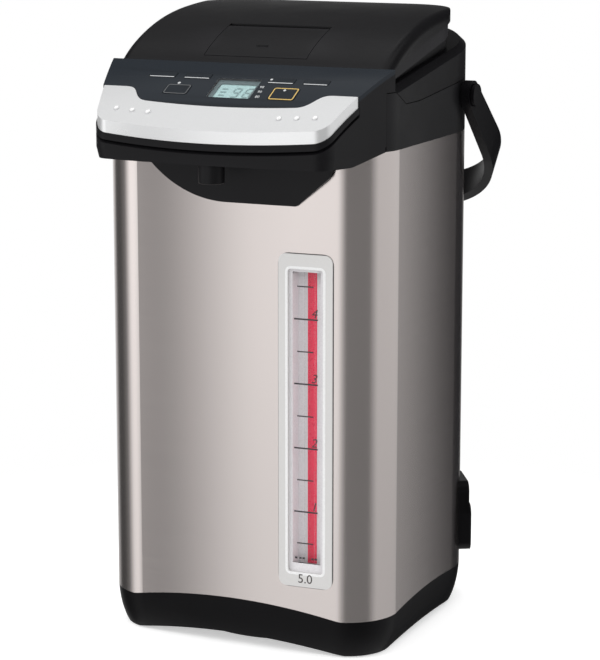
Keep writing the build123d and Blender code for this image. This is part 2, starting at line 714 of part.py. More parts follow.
OUTLET_Z = CHAMBER_LOW + CHAMBER_HEIGHT / 2
OUTLET_TURN = atan2(TUBE_Y - PUMP_Y, TUBE_X)
OUTLET_PLANE = Plane(
    origin=(0, PUMP_Y, OUTLET_Z),
    x_dir=(0, 0, 1),
    z_dir=(cos(OUTLET_TURN), sin(OUTLET_TURN), 0),
)
with BuildPart() as pump_housing:
    with BuildSketch(Plane.XY.offset(CHAMBER_LOW)):
        with Locations(PUMP):
            Circle(CHAMBER_RADIUS)
    extrude(amount=CHAMBER_HEIGHT)
    with BuildSketch(Plane.XY.offset(CHAMBER_TOP)):
        with Locations(PUMP):
            Circle(SPIGOT_RADIUS)
    extrude(amount=2)
    with BuildSketch(OUTLET_PLANE):
        Circle(PIPE_RADIUS)
    extrude(amount=CHAMBER_RADIUS + 8)
    with BuildSketch(OUTLET_PLANE):
        Circle(PIPE_RADIUS - PIPE_WALL)
    extrude(amount=CHAMBER_RADIUS + 8, mode=Mode.SUBTRACT)
    with BuildSketch(Plane.XY.offset(CHAMBER_LOW + 2)):
        with Locations(PUMP):
            Circle(CHAMBER_RADIUS - 2)
    extrude(amount=CHAMBER_HEIGHT - 4, mode=Mode.SUBTRACT)
    with BuildSketch(Plane.XY.offset(CHAMBER_LOW + 5)):
        with Locations(PUMP):
            Circle(SPIGOT_RADIUS - 1)
    extrude(amount=CHAMBER_HEIGHT, mode=Mode.SUBTRACT)
    with BuildSketch(Plane.XY.offset(CHAMBER_LOW + 1.9)):
        with Locations(PUMP):
            Circle(SHAFT_RADIUS)
    extrude(amount=3)
pump_housing.part.label = "pump_housing"
export_step(pump_housing.part, "parts/pump_housing.step")

IMPELLER_LOW = CHAMBER_LOW + 2.6
with BuildPart() as impeller:
    with BuildSketch(Plane.XY.offset(IMPELLER_LOW)):
        with Locations(PUMP):
            Circle(IMPELLER_RADIUS)
    extrude(amount=2)
    with BuildSketch(Plane.XY.offset(IMPELLER_LOW + 2)):
        with Locations(PUMP):
            Circle(SHAFT_RADIUS + 2.2)
            with PolarLocations(IMPELLER_RADIUS / 2 + 1.5, 6):
                Rectangle(IMPELLER_RADIUS - 5, 1.4, rotation=24)
    extrude(amount=3.4)
    with BuildSketch(Plane.XY.offset(IMPELLER_LOW - 1)):
        with Locations(PUMP):
            Circle(SHAFT_RADIUS + RUN)
    extrude(amount=4, mode=Mode.SUBTRACT)
impeller.part.label = "impeller"
export_step(impeller.part, "parts/impeller.step")

with BuildPart() as pump_inlet_hose:
    with BuildSketch(Plane.XY.offset(CHAMBER_TOP + 0.1)):
        with Locations(PUMP):
            Circle(SPIGOT_RADIUS + 2)
            Circle(SPIGOT_RADIUS + RUN, mode=Mode.SUBTRACT)
    extrude(amount=POT_FLOOR - SKIN - CHAMBER_TOP - 0.2)
pump_inlet_hose.part.label = "pump_inlet_hose"
export_step(pump_inlet_hose.part, "parts/pump_inlet_hose.step")


HOSE_START = Vector(0, PUMP_Y, OUTLET_Z) + OUTLET_PLANE.z_dir * (CHAMBER_RADIUS + 1)
with BuildPart() as outlet_hose:
    with BuildLine() as hose_path:
        FilletPolyline(
            tuple(HOSE_START),
            (TUBE_X, TUBE_Y, OUTLET_Z),
            (TUBE_X, TUBE_Y, TUBE_LOW + 6),
            radius=PIPE_RADIUS + 4,
        )
    with BuildSketch(Plane(origin=HOSE_START, x_dir=(0, 0, 1), z_dir=OUTLET_PLANE.z_dir)):
        Circle(TUBE_RADIUS + 1.4)
    sweep(path=hose_path.line)
    with BuildSketch(Plane(origin=HOSE_START, x_dir=(0, 0, 1), z_dir=OUTLET_PLANE.z_dir)):
        Circle(PIPE_RADIUS + RUN)
    sweep(path=hose_path.line, mode=Mode.SUBTRACT)
    with BuildSketch(Plane.XY.offset(TUBE_LOW - FIT)):
        with Locations((TUBE_X, TUBE_Y)):
            Circle(TUBE_RADIUS + RUN)
    extrude(amount=10, mode=Mode.SUBTRACT)
outlet_hose.part.label = "outlet_hose"
export_step(outlet_hose.part, "parts/outlet_hose.step")

# ------------------------------------------------------------------ electronics in the base
BOARD_Z = PLATE_TOP + STANDOFF
with BuildPart() as main_board:
    with BuildSketch(Plane.XY.offset(BOARD_Z)):
        with Locations((0, MAIN_BOARD_Y)):
            RectangleRounded(*MAIN_BOARD_SIZE, 2)
    extrude(amount=BOARD_THICKNESS)
    with BuildSketch(Plane.XY.offset(BOARD_Z + BOARD_THICKNESS)):
        with Locations((-34, MAIN_BOARD_Y + 6)):
            Rectangle(24, 20)
        with Locations((-4, MAIN_BOARD_Y + 10), (18, MAIN_BOARD_Y + 10)):
            Rectangle(16, 12)
        with Locations((38, MAIN_BOARD_Y - 8), (38, MAIN_BOARD_Y + 8)):
            Circle(5)
    extrude(amount=12)
    with BuildSketch(Plane.XY.offset(BOARD_Z + BOARD_THICKNESS)):
        with Locations((-6, MAIN_BOARD_Y - 12)):
            Rectangle(14, 14)
        with GridLocations(12, 0, 3, 1):
            with Locations((10, MAIN_BOARD_Y - 20)):
                Rectangle(9, 5)
    extrude(amount=4)
main_board.part.label = "main_board"
export_step(main_board.part, "parts/main_board.step")

with BuildPart() as inlet_pins:
    with BuildSketch(inlet_plane(-INLET_RECESS - 8)):
        with Locations(((INLET_LOW + INLET_STEP + 5) / 2, -7), ((INLET_LOW + INLET_STEP + 5) / 2, 7)):
            Rectangle(2.2, 4.4)
    extrude(amount=12)
inlet_pins.part.label = "inlet_pins"
export_step(inlet_pins.part, "parts/inlet_pins.step")

with BuildPart() as power_inlet:
    add(inlet_block(INLET_LOW, INLET_STEP + 4, INLET_WIDTH, -INLET_SAG - 1.5, INLET_PROUD, 7))
    add(inlet_block(INLET_STEP - 8, INLET_HIGH, INLET_WIDTH, -INLET_SAG - 1.5, INLET_PROUD - 1.6, 7))
    extrude(body_plan(BASE_TOP), amount=FAR, mode=Mode.SUBTRACT)
    add(inlet_block(INLET_LOW + 2, INLET_HIGH - 2, INLET_WIDTH - 4, -INLET_RECESS - 3, 0.5, 5))
    add(
        inlet_block(INLET_LOW + 8, INLET_STEP - 3, INLET_WIDTH - 12, -INLET_RECESS, 20, 3),
        mode=Mode.SUBTRACT,
    )
    add(inlet_pins.part, mode=Mode.SUBTRACT)
power_inlet.part.label = "power_inlet"
export_step(power_inlet.part, "parts/power_inlet.step")

# ------------------------------------------------------------------ shoulder ring
SEAM = [
    (SEAM_HORN[0] - 12, SEAM_HORN[1]),
    SEAM_HORN,
    SEAM_LOW,
    SEAM_MID,
    SEAM_REAR,
    (SEAM_REAR[0] + 10, SEAM_REAR[1] + 1),
]
HEAD_REAR = CREASE[0] - 0.4
SIDE_EDGE = HEAD_SIDE[1]
DECK_HOLE = MOUTH_RADIUS + SKIN + 5.5


def below_seam(drop):
    """Everything below the side seam lowered by drop."""
    top = [(y, z - drop) for y, z in SEAM]
    return side_block([*top, (top[-1][0], WRAP_TOP - 40), (top[0][0], WRAP_TOP - 40)])


def in_front(y, low=0.0, high=FAR):
    """Everything in front of y, between two heights."""
    return side_block([(y, low), (y, high), (-FAR, high), (-FAR, low)])


with BuildPart() as shoulder_ring:
    extrude(body_plan(WRAP_TOP), amount=60)
    add(below_seam(0), mode=Mode.INTERSECT)
    extrude(body_plan(DECK_TOP, WALL), amount=60, mode=Mode.SUBTRACT)
    extrude(body_plan(WRAP_TOP - 10, SKIN + 0.2), amount=10)
    extrude(body_plan(WRAP_TOP - 11, SKIN + 2.4), amount=11, mode=Mode.SUBTRACT)
    with BuildSketch(Plane.XY.offset(WRAP_TOP - 1)):
        Circle(DECK_HOLE)
        with Locations((TUBE_X, VALVE_Y)):
            Circle(PIPE_RADIUS + 1.2)
    extrude(amount=SHOULDER_DECK + 2, mode=Mode.SUBTRACT)
    with BuildPart(mode=Mode.PRIVATE) as outside:
        with BuildSketch(Plane.XY.offset(WRAP_TOP)):
            with Locations((0, SIDE_EDGE + 0.2)):
                Rectangle(FAR, FAR, align=(Align.CENTER, Align.MAX))
        extrude(amount=60)
        extrude(head_plan(WRAP_TOP - 1, WALL + FIT), amount=62, mode=Mode.SUBTRACT)
    add(outside.part, mode=Mode.SUBTRACT)
    add(in_front(SIDE_EDGE + 0.2, DECK_TOP), mode=Mode.SUBTRACT)
    with Locations(*[Location((s * (BODY_WIDTH / 2 - 5), *BAIL_PIVOT), (0, 90, 0)) for s in (-1, 1)]):
        Cylinder(PIVOT_HEAD_RADIUS + 1, 10)
    with Locations(Location((0, *BAIL_PIVOT), (0, 90, 0))):
        Cylinder(PIVOT_RADIUS + RUN, BODY_WIDTH + 20, mode=Mode.SUBTRACT)
shoulder_ring.part.label = "shoulder_ring"
export_step(shoulder_ring.part, "parts/shoulder_ring.step")

# ------------------------------------------------------------------ bail handle
HANG = radians(BAIL_HANG)
BAIL_PLANE = Plane(
    origin=(0, *BAIL_PIVOT),
    x_dir=(1, 0, 0),
    z_dir=(0, sin(HANG), cos(HANG)),
)


def bail_outline(inset):
    """The handle's U, drawn in by inset, in its own plane."""
    half = BAIL_HALF - inset
    reach = BAIL_REACH - inset
    with BuildSketch(BAIL_PLANE, mode=Mode.PRIVATE) as outline:
        with Locations((0, (reach - 2 * BAIL_HUB_RADIUS) / 2)):
            Rectangle(2 * half, reach + 2 * BAIL_HUB_RADIUS)
        far = outline.vertices().sort_by_distance(BAIL_PLANE.from_local_coords((0, 2 * reach, 0)))[:2]
        fillet(far, BAIL_CORNER - inset)
    return outline.sketch


SIDE_VIEW = Plane(origin=(0, *BAIL_PIVOT), x_dir=(0, cos(HANG), -sin(HANG)), z_dir=(1, 0, 0))
with BuildPart() as bail_handle:
    extrude(bail_outline(0), amount=BAIL_WIDTH / 2, both=True)
    extrude(bail_outline(BAIL_THICKNESS), amount=BAIL_WIDTH, both=True, mode=Mode.SUBTRACT)
    with BuildPart(mode=Mode.PRIVATE) as mask:
        with BuildSketch(SIDE_VIEW):
            Circle(BAIL_HUB_RADIUS)
            with BuildLine():
                Polyline(
                    (0, -BAIL_HUB_RADIUS),
                    (BAIL_REACH / 2, -BAIL_WIDTH / 2),
                    (BAIL_REACH + 5, -BAIL_WIDTH / 2),
                    (BAIL_REACH + 5, BAIL_WIDTH / 2),
                    (BAIL_REACH / 2, BAIL_WIDTH / 2),
                    (0, BAIL_HUB_RADIUS),
                    close=True,
                )
            make_face()
        extrude(amount=BODY_WIDTH, both=True)
    add(mask.part, mode=Mode.INTERSECT)
    with Locations(Location((0, *BAIL_PIVOT), (0, 90, 0))):
        Cylinder(PIVOT_RADIUS + RUN, BODY_WIDTH + 40, mode=Mode.SUBTRACT)
bail_handle.part.label = "bail_handle"
export_step(bail_handle.part, "parts/bail_handle.step")

PIVOT_IN = BODY_WIDTH / 2 - 9
PIVOT_HEAD = 2.2
with BuildPart() as bail_pivots:
    for side in (-1, 1):
        length = BAIL_HALF + 0.3 - PIVOT_IN
        with Locations(Location((side * (PIVOT_IN + length / 2), *BAIL_PIVOT), (0, 90, 0))):
            Cylinder(PIVOT_RADIUS, length)
        with Locations(Location((side * (BAIL_HALF + 0.3 + PIVOT_HEAD / 2), *BAIL_PIVOT), (0, 90, 0))):
            Cylinder(PIVOT_HEAD_RADIUS, PIVOT_HEAD)
bail_pivots.part.label = "bail_pivots"
export_step(bail_pivots.part, "parts/bail_pivots.step")

# ------------------------------------------------------------------ upper frame
LID_SLOPE = (LID_LOW_REAR - LID_LOW_FRONT[1]) / (LID_REAR - LID_LOW_FRONT[0])


def frame_line(y, drop=0.0):
    """The height of the frame's top at y."""
    return FRAME_TOP_FRONT[1] + (y - FRAME_TOP_FRONT[0]) * FRAME_TOP_SLOPE - drop


def lid_line(y, lift=0.0):
    """The height of the closed lid's lower edge at y."""
    return LID_LOW_FRONT[1] + (y - LID_LOW_FRONT[0]) * LID_SLOPE + lift


def below_line(line, offset, front=-BODY_FRONT, rear=BODY_REAR + 15.0):
    """Everything below a sloping line moved by offset."""
    low = WRAP_TOP - 78
    return side_block([(front, line(front, offset)), (rear, line(rear, offset)), (rear, low), (front, low)])


FRAME_FRONT = CREASE[0] + 0.5
HINGE_POCKET = 62.0
EAR_PLACES = [KNUCKLE_X - KNUCKLE_WIDTH / 2 - 4.3, KNUCKLE_X + KNUCKLE_WIDTH / 2 + 4.3]


FRAME_LIP = WALL + 1.8
RIM_OUT = 2.5
RIM_IN = 5.0
POCKET_LOW = HINGE_Z - 8.5


def well_plan(inset):
    """The lid's outline drawn in by inset and run out to the front, as an upright block."""
    half = LID_HALF - inset
    rear = LID_REAR - inset
    with BuildPart(mode=Mode.PRIVATE) as plan:
        with BuildSketch(Plane.XY.offset(DECK_TOP + 9)):
            with Locations((0, rear)):
                Rectangle(2 * half, 190, align=(Align.CENTER, Align.MAX))
        extrude(amount=80)
        corners = plan.edges().filter_by(Axis.Z).group_by(Axis.Y)[-1]
        fillet(corners, LID_REAR_CORNER - inset)
    return plan.part


with BuildPart() as upper_frame:
    extrude(body_plan(SEAM_LOW[1] - 2), amount=60)
    add(below_line(frame_line, 0), mode=Mode.INTERSECT)
    chamfer(upper_frame.faces().sort_by(Axis.Z)[-1].edges(), FRAME_BEVEL)
    add(below_seam(-SEAM_GAP), mode=Mode.SUBTRACT)
    # the side walls and the top strip
    with BuildPart(mode=Mode.PRIVATE) as hollow:
        extrude(body_plan(WRAP_TOP - 28, FRAME_LIP), amount=100)
        add(below_line(frame_line, WALL), mode=Mode.INTERSECT)
    add(hollow.part, mode=Mode.SUBTRACT)
    add(well_plan(RIM_IN), mode=Mode.SUBTRACT)
    # the rim that rises to the lid
    with BuildPart(mode=Mode.PRIVATE) as rim:
        add(well_plan(RIM_OUT))
        add(well_plan(RIM_IN), mode=Mode.SUBTRACT)
        add(below_line(lid_line, -0.8), mode=Mode.INTERSECT)
        add(below_line(frame_line, WALL), mode=Mode.SUBTRACT)
        with BuildPart(mode=Mode.PRIVATE) as inside:
            extrude(body_plan(WRAP_TOP + 2, 2 * FRAME_BEVEL), amount=90)
        add(inside.part, mode=Mode.INTERSECT)
    add(rim.part)
    # the lip inside the shoulder, the floor of the well and the skirt round the mouth
    with BuildPart(mode=Mode.PRIVATE) as floor:
        extrude(body_plan(FRAME_FLOOR, WALL + 0.2), amount=14)
        extrude(body_plan(FRAME_FLOOR + 2.4, FRAME_LIP), amount=20, mode=Mode.SUBTRACT)
        add(below_line(frame_line, WALL), mode=Mode.INTERSECT)
        with BuildSketch(Plane.XY.offset(DECK_TOP + 0.1)):
            Circle(WELL_RADIUS + 2.4)
        extrude(amount=FRAME_FLOOR - DECK_TOP)
        with BuildSketch(Plane.XY.offset(DECK_TOP)):
            Circle(WELL_RADIUS)
        extrude(amount=60, mode=Mode.SUBTRACT)
    add(floor.part)
    add(in_front(FRAME_FRONT), mode=Mode.SUBTRACT)
    # the hinge pocket and its ears
    with BuildPart(mode=Mode.PRIVATE) as pocket:
        with Locations((0, HINGE_Y + 0.5, POCKET_LOW - 2.4)):
            Box(2 * HINGE_POCKET + 4.8, 26, 20, align=FROM_BELOW)
        add(below_line(frame_line, 0), mode=Mode.INTERSECT)
    add(pocket.part)
    with Locations((0, HINGE_Y + 0.5, POCKET_LOW)):
        Box(2 * HINGE_POCKET, 21.2, 30, align=FROM_BELOW, mode=Mode.SUBTRACT)
    for side in (-1, 1):
        for place in EAR_PLACES:
            with Locations((side * place, HINGE_Y, POCKET_LOW - 0.5)):
                Box(8, 2 * KNUCKLE_RADIUS, HINGE_Z - POCKET_LOW + 0.5, align=FROM_BELOW)
            with Locations(Location((side * place, HINGE_Y, HINGE_Z), (0, 90, 0))):
                Cylinder(KNUCKLE_RADIUS, 8)
    with Locations(Location((0, HINGE_Y, HINGE_Z), (0, 90, 0))):
        Cylinder(HINGE_PIN_RADIUS, 2 * (EAR_PLACES[1] + 4.5), mode=Mode.SUBTRACT)
    with Locations(*[Location((s * (BODY_WIDTH / 2 - 5), *BAIL_PIVOT), (0, 90, 0)) for s in (-1, 1)]):
        Cylinder(PIVOT_HEAD_RADIUS + 1.4, 14, mode=Mode.SUBTRACT)
upper_frame.part.label = "upper_frame"
export_step(upper_frame.part, "parts/upper_frame.step")

with BuildPart() as hinge_pins:
    for side in (-1, 1):
        middle = side * (EAR_PLACES[0] + EAR_PLACES[1]) / 2
        with Locations(Location((middle, HINGE_Y, HINGE_Z), (0, 90, 0))):
            Cylinder(HINGE_PIN_RADIUS, EAR_PLACES[1] - EAR_PLACES[0] + 8)
hinge_pins.part.label = "hinge_pins"
export_step(hinge_pins.part, "parts/hinge_pins.step")

# ------------------------------------------------------------------ dispensing head
HEAD_TOP = CREASE[1] + 6.5
SLOT_LOW = lid_line(HEAD_REAR, 2.2)
SLOT_HIGH = lid_line(HEAD_REAR, 5.8)


def bar_zone(gap=0.0):
    """The upright space the dispense bar stands in."""
    with BuildPart(mode=Mode.PRIVATE) as zone:
        extrude(bar_plan(HEAD_BOTTOM - 5, gap), amount=80)
    return zone.part


HOUSING_DEPTH = BAR_BAND + CARRIER_BAND + BAR_GAP
BOTTOM_LINE = [
    (-160, HEAD_BOTTOM),
    (-104, HEAD_BOTTOM),
    (SIDE_EDGE, HEAD_SIDE_BOTTOM),
    (-40, HEAD_SIDE_BOTTOM + 2),
]


def above_bottom(lift=0.0):
    """Everything above the underside of the head raised by lift."""
    line = [(y, z + lift) for y, z in BOTTOM_LINE]
    return side_block([*line, (-40, FAR), (-160, FAR)])


with BuildPart() as beak_housing:
    loft(
        [
            head_plan(HEAD_BOTTOM - 1, HEAD_DRAFT),
            head_plan(HEAD_BOTTOM + 7, 0),
        ]
    )
    extrude(head_plan(HEAD_BOTTOM + 7), amount=HEAD_TOP - HEAD_BOTTOM - 7)
    add(above_bottom(), mode=Mode.INTERSECT)
    add(under_panel(PANEL_THICKNESS), mode=Mode.INTERSECT)
    horn_top = SEAM_HORN[1] + 0.5
    add(side_block([(SIDE_EDGE, 0), (SIDE_EDGE, horn_top), (0, horn_top), (0, 0)]), mode=Mode.SUBTRACT)
    with BuildPart(mode=Mode.PRIVATE) as rear:
        extrude(head_plan(DECK_TOP + 0.2, WALL + 0.7), amount=HEAD_TOP - DECK_TOP)
        add(under_panel(PANEL_THICKNESS), mode=Mode.INTERSECT)
        add(side_block([(-78, 0), (-78, FAR), (-160, FAR), (-160, 0)]), mode=Mode.SUBTRACT)
    add(rear.part)
    add(side_block([(HEAD_REAR, 0), (HEAD_REAR, FAR), (0, FAR), (0, 0)]), mode=Mode.SUBTRACT)
    with BuildPart(mode=Mode.PRIVATE) as cavity:
        extrude(head_plan(HEAD_BOTTOM + 2.5, WALL, -77), amount=HEAD_TOP - HEAD_BOTTOM)
        extrude(head_plan(HEAD_BOTTOM + 2.5, WALL + 3.2, HEAD_REAR - 2.4), amount=HEAD_TOP - HEAD_BOTTOM)
        add(above_bottom(2.5), mode=Mode.INTERSECT)
    add(cavity.part, mode=Mode.SUBTRACT)
    with BuildPart(mode=Mode.PRIVATE) as body_room:
        extrude(body_plan(WRAP_TOP - 28, -0.2), amount=DECK_TOP + 28.1 - WRAP_TOP)
    add(body_room.part, mode=Mode.SUBTRACT)
    with BuildPart(mode=Mode.PRIVATE) as bar_room:
        add(bar_zone(-0.4))
        add(under_panel(HOUSING_DEPTH), mode=Mode.SUBTRACT)
    add(bar_room.part, mode=Mode.SUBTRACT)
    with BuildSketch(Plane.XY.offset(HEAD_BOTTOM - 2)):
        with Locations((0, NOZZLE_Y)):
            Circle(NOZZLE_RADIUS + RUN)
    extrude(amount=8, mode=Mode.SUBTRACT)
    with Locations((0, HEAD_REAR, (SLOT_LOW + SLOT_HIGH) / 2)):
        Box(LATCH_WIDTH + 2, 12, SLOT_HIGH - SLOT_LOW, mode=Mode.SUBTRACT)
beak_housing.part.label = "beak_housing"
export_step(beak_housing.part, "parts/beak_housing.step")

with BuildPart() as control_panel:
    extrude(head_plan(HEAD_BOTTOM), amount=HEAD_TOP - HEAD_BOTTOM)
    add(under_panel(0), mode=Mode.INTERSECT)
    add(under_panel(PANEL_THICKNESS), mode=Mode.SUBTRACT)
    add(side_block([(HEAD_REAR, 0), (HEAD_REAR, FAR), (0, FAR), (0, 0)]), mode=Mode.SUBTRACT)
    add(bar_zone(-0.4), mode=Mode.SUBTRACT)
    for key, x, y, width, depth in KEYS:
        with BuildSketch(panel_plane(x, y, -3)):
            RectangleRounded(width + 2 * FIT, depth + 2 * FIT, 1.6)
        extrude(amount=-8, mode=Mode.SUBTRACT)
    with BuildSketch(panel_plane(*LCD_CENTRE, -3)):
        RectangleRounded(LCD_SIZE[0], LCD_SIZE[1], 1.5)
    extrude(amount=-8, mode=Mode.SUBTRACT)
control_panel.part.label = "control_panel"
export_step(control_panel.part, "parts/control_panel.step")

with BuildPart() as lcd_window:
    with BuildSketch(panel_plane(*LCD_CENTRE, -3)):
        RectangleRounded(LCD_SIZE[0] - 0.1, LCD_SIZE[1] - 0.1, 1.5)
    extrude(amount=-8)
    add(under_panel(0), mode=Mode.INTERSECT)
    add(under_panel(1.4), mode=Mode.SUBTRACT)
lcd_window.part.label = "lcd_window"
export_step(lcd_window.part, "parts/lcd_window.step")

with BuildPart() as lcd_module:
    with BuildSketch(panel_plane(*LCD_CENTRE, 2.2)):
        Rectangle(LCD_SIZE[0] - 1, LCD_SIZE[1] - 1)
    extrude(amount=-LCD_DEPTH)
lcd_module.part.label = "lcd_module"
export_step(lcd_module.part, "parts/lcd_module.step")

BOARD_Y = -90.0
with BuildPart() as control_board:
    with BuildSketch(panel_plane(0, BOARD_Y, BOARD_DEPTH)):
        Rectangle(*BOARD_SIZE)
    extrude(amount=-BOARD_THICKNESS)
    with BuildSketch(panel_plane(0, BOARD_Y, BOARD_DEPTH + BOARD_THICKNESS)):
        with Locations((-46, 4), (44, 4)):
            Rectangle(12, 8)
    extrude(amount=-2.4)
control_board.part.label = "control_board"
export_step(control_board.part, "parts/control_board.step")

STEM_GAP = 0.5
for key, x, y, width, depth in KEYS:
    with BuildPart() as cap:
        with BuildSketch(panel_plane(x, y, -KEY_PROUD)):
            RectangleRounded(width, depth, 1.4)
        extrude(amount=-PANEL_THICKNESS - KEY_PROUD - 0.4)
        with BuildSketch(panel_plane(x, y, PANEL_THICKNESS + 0.4)):
            RectangleRounded(width + KEY_SKIRT, depth + KEY_SKIRT, 1.8)
        extrude(amount=-1)
        with BuildSketch(panel_plane(x, y, PANEL_THICKNESS + 1.4)):
            Circle(2)
        extrude(amount=-(BOARD_DEPTH - PANEL_THICKNESS - 1.4 - KEY_TRAVEL - STEM_GAP))
    cap.part.label = key
    export_step(cap.part, f"parts/{key}.step")

# ------------------------------------------------------------------ dispense bar
BAR_INSET = 0.7
with BuildPart() as dispense_bar:
    extrude(head_plan(HEAD_BOTTOM, BAR_INSET), amount=HEAD_TOP - HEAD_BOTTOM)
    add(bar_zone(), mode=Mode.INTERSECT)
    add(under_panel(0), mode=Mode.INTERSECT)
    add(under_panel(BAR_BAND), mode=Mode.SUBTRACT)
    with BuildPart(mode=Mode.PRIVATE) as inside:
        extrude(head_plan(HEAD_BOTTOM, BAR_INSET + 2), amount=HEAD_TOP - HEAD_BOTTOM)
        add(under_panel(2), mode=Mode.INTERSECT)
    add(inside.part, mode=Mode.SUBTRACT)
    for side in (-1, 1):
        for x, y in DOT_PLACES:
            with BuildSketch(panel_plane(side * x, y, 1)):
                Circle(DOT_RADIUS)
            extrude(amount=1.35)
dispense_bar.part.label = "dispense_bar"
export_step(dispense_bar.part, "parts/dispense_bar.step")

SWITCH_PLACE = (-24.0, -116.0)
SWITCH_TOP = HEAD_BOTTOM + 16.0
with BuildPart() as bar_carrier:
    extrude(head_plan(HEAD_BOTTOM), amount=HEAD_TOP - HEAD_BOTTOM)
    add(bar_zone(), mode=Mode.INTERSECT)
    add(under_panel(BAR_BAND), mode=Mode.INTERSECT)
    add(under_panel(BAR_BAND + CARRIER_BAND), mode=Mode.SUBTRACT)
    extrude(head_plan(HEAD_BOTTOM, BAR_INSET + 4), amount=HEAD_TOP - HEAD_BOTTOM, mode=Mode.SUBTRACT)
    with BuildPart(mode=Mode.PRIVATE) as tray:
        extrude(head_plan(HEAD_BOTTOM, BAR_INSET + 2), amount=HEAD_TOP - HEAD_BOTTOM)
        add(bar_zone(1.5), mode=Mode.INTERSECT)
        add(under_panel(2), mode=Mode.INTERSECT)
        with BuildPart(mode=Mode.PRIVATE) as hollow:
            extrude(head_plan(HEAD_BOTTOM, BAR_INSET + 4), amount=HEAD_TOP - HEAD_BOTTOM)
            add(under_panel(4), mode=Mode.INTERSECT)
        add(hollow.part, mode=Mode.SUBTRACT)
        add(under_panel(BAR_BAND + CARRIER_BAND), mode=Mode.SUBTRACT)
    add(tray.part)
    with BuildPart(mode=Mode.PRIVATE) as stem:
        with BuildSketch(Plane.XY.offset(SWITCH_TOP + BAR_TRAVEL + 0.2)):
            with Locations(SWITCH_PLACE):
                Circle(2.5)
        extrude(amount=30)
        add(under_panel(3), mode=Mode.INTERSECT)
    add(stem.part)
bar_carrier.part.label = "bar_carrier"
export_step(bar_carrier.part, "parts/bar_carrier.step")

with BuildPart() as dispense_switch:
    with BuildSketch(Plane.XY.offset(HEAD_BOTTOM + 2.6)):
        with Locations(SWITCH_PLACE):
            Rectangle(16, 8)
    extrude(amount=SWITCH_TOP - 2 - HEAD_BOTTOM - 2.6)
    with BuildSketch(Plane.XY.offset(SWITCH_TOP - 2)):
        with Locations(SWITCH_PLACE):
            Rectangle(4, 3)
    extrude(amount=2)
dispense_switch.part.label = "dispense_switch"
export_step(dispense_switch.part, "parts/dispense_switch.step")

# ------------------------------------------------------------------ spout and cowl
NOZZLE_TOP = HEAD_BOTTOM + 6.0
with BuildPart() as spout_nozzle:
    with BuildSketch(Plane.XY.offset(NOZZLE_BOTTOM)):
        with Locations((0, NOZZLE_Y)):
            Circle(NOZZLE_RADIUS)
    extrude(amount=NOZZLE_TOP - NOZZLE_BOTTOM)
    fillet(spout_nozzle.edges().group_by(Axis.Z)[0], 1)
    with BuildSketch(Plane.XY.offset(NOZZLE_BOTTOM - 1)):
        with Locations((0, NOZZLE_Y)):
            Circle(NOZZLE_BORE)
    extrude(amount=16, mode=Mode.SUBTRACT)
    with BuildSketch(Plane.XY.offset(NOZZLE_BOTTOM + 10)):
        with Locations((0, NOZZLE_Y)):
            Circle(PIPE_RADIUS + RUN)
    extrude(amount=20, mode=Mode.SUBTRACT)
spout_nozzle.part.label = "spout_nozzle"
export_step(spout_nozzle.part, "parts/spout_nozzle.step")

VALVE_TOP = TUBE_HIGH + VALVE_LENGTH
PIPE_LOW = VALVE_TOP - 6
with BuildPart() as spout_pipe:
    with BuildLine() as pipe_path:
        FilletPolyline(
            (TUBE_X, VALVE_Y, PIPE_LOW),
            (TUBE_X, VALVE_Y, PIPE_HEIGHT),
            (0, NOZZLE_Y, PIPE_HEIGHT),
            (0, NOZZLE_Y, HEAD_BOTTOM - 1),
            radius=PIPE_BEND,
        )
    with BuildSketch(Plane.XY.offset(PIPE_LOW)):
        with Locations((TUBE_X, VALVE_Y)):
            Circle(PIPE_RADIUS)
            Circle(PIPE_RADIUS - PIPE_WALL, mode=Mode.SUBTRACT)
    sweep(path=pipe_path.line)
spout_pipe.part.label = "spout_pipe"
export_step(spout_pipe.part, "parts/spout_pipe.step")

COWL_TOP = HEAD_BOTTOM - 0.1
with BuildPart() as chin_cowl:
    loft([body_plan(COWL_BOTTOM - 2, -COWL_PROUD_LOW + 0.4), body_plan(COWL_TOP, -COWL_PROUD_TOP)])
    with BuildPart(mode=Mode.PRIVATE) as smile:
        rise = COWL_TOP + 2 - COWL_BOTTOM
        reach = sqrt(COWL_SWEEP**2 - (COWL_SWEEP - rise) ** 2)
        half_turn = atan2(reach, COWL_SWEEP - rise) / 2
        left_top = (COWL_FLAT[0] - reach, COWL_BOTTOM + rise)
        left_middle = (
            COWL_FLAT[0] - COWL_SWEEP * sin(half_turn),
            COWL_BOTTOM + COWL_SWEEP * (1 - cos(half_turn)),
        )
        flat_start = (COWL_FLAT[0], COWL_BOTTOM)
        flat_end = (COWL_FLAT[1], COWL_BOTTOM)
        steep_start = (COWL_SLOPE[0], COWL_BOTTOM + COWL_SLOPE[1])
        right_top = (COWL_SLOPE[0] + COWL_FLARE * (rise - COWL_SLOPE[1]), COWL_BOTTOM + rise)
        with BuildSketch(Plane.XZ.offset(60)) as cowl_face:
            with BuildLine():
                ThreePointArc(left_top, left_middle, flat_start)
                Polyline(flat_start, flat_end, steep_start, right_top, left_top)
            make_face()
            turns = [v for v in cowl_face.vertices() if v.X > COWL_FLAT[1] - 1 and v.Y < COWL_TOP]
            fillet(turns, COWL_CORNER)
        extrude(amount=80)
    add(smile.part, mode=Mode.INTERSECT)
    with BuildPart(mode=Mode.PRIVATE) as inside:
        loft([body_plan(COWL_BOTTOM - 3, 1), body_plan(COWL_TOP + 1, -COWL_PROUD_TOP + 2)])
    add(inside.part, mode=Mode.SUBTRACT)
    extrude(body_plan(COWL_BOTTOM - 10, -0.02), amount=60, mode=Mode.SUBTRACT)
chin_cowl.part.label = "chin_cowl"
export_step(chin_cowl.part, "parts/chin_cowl.step")

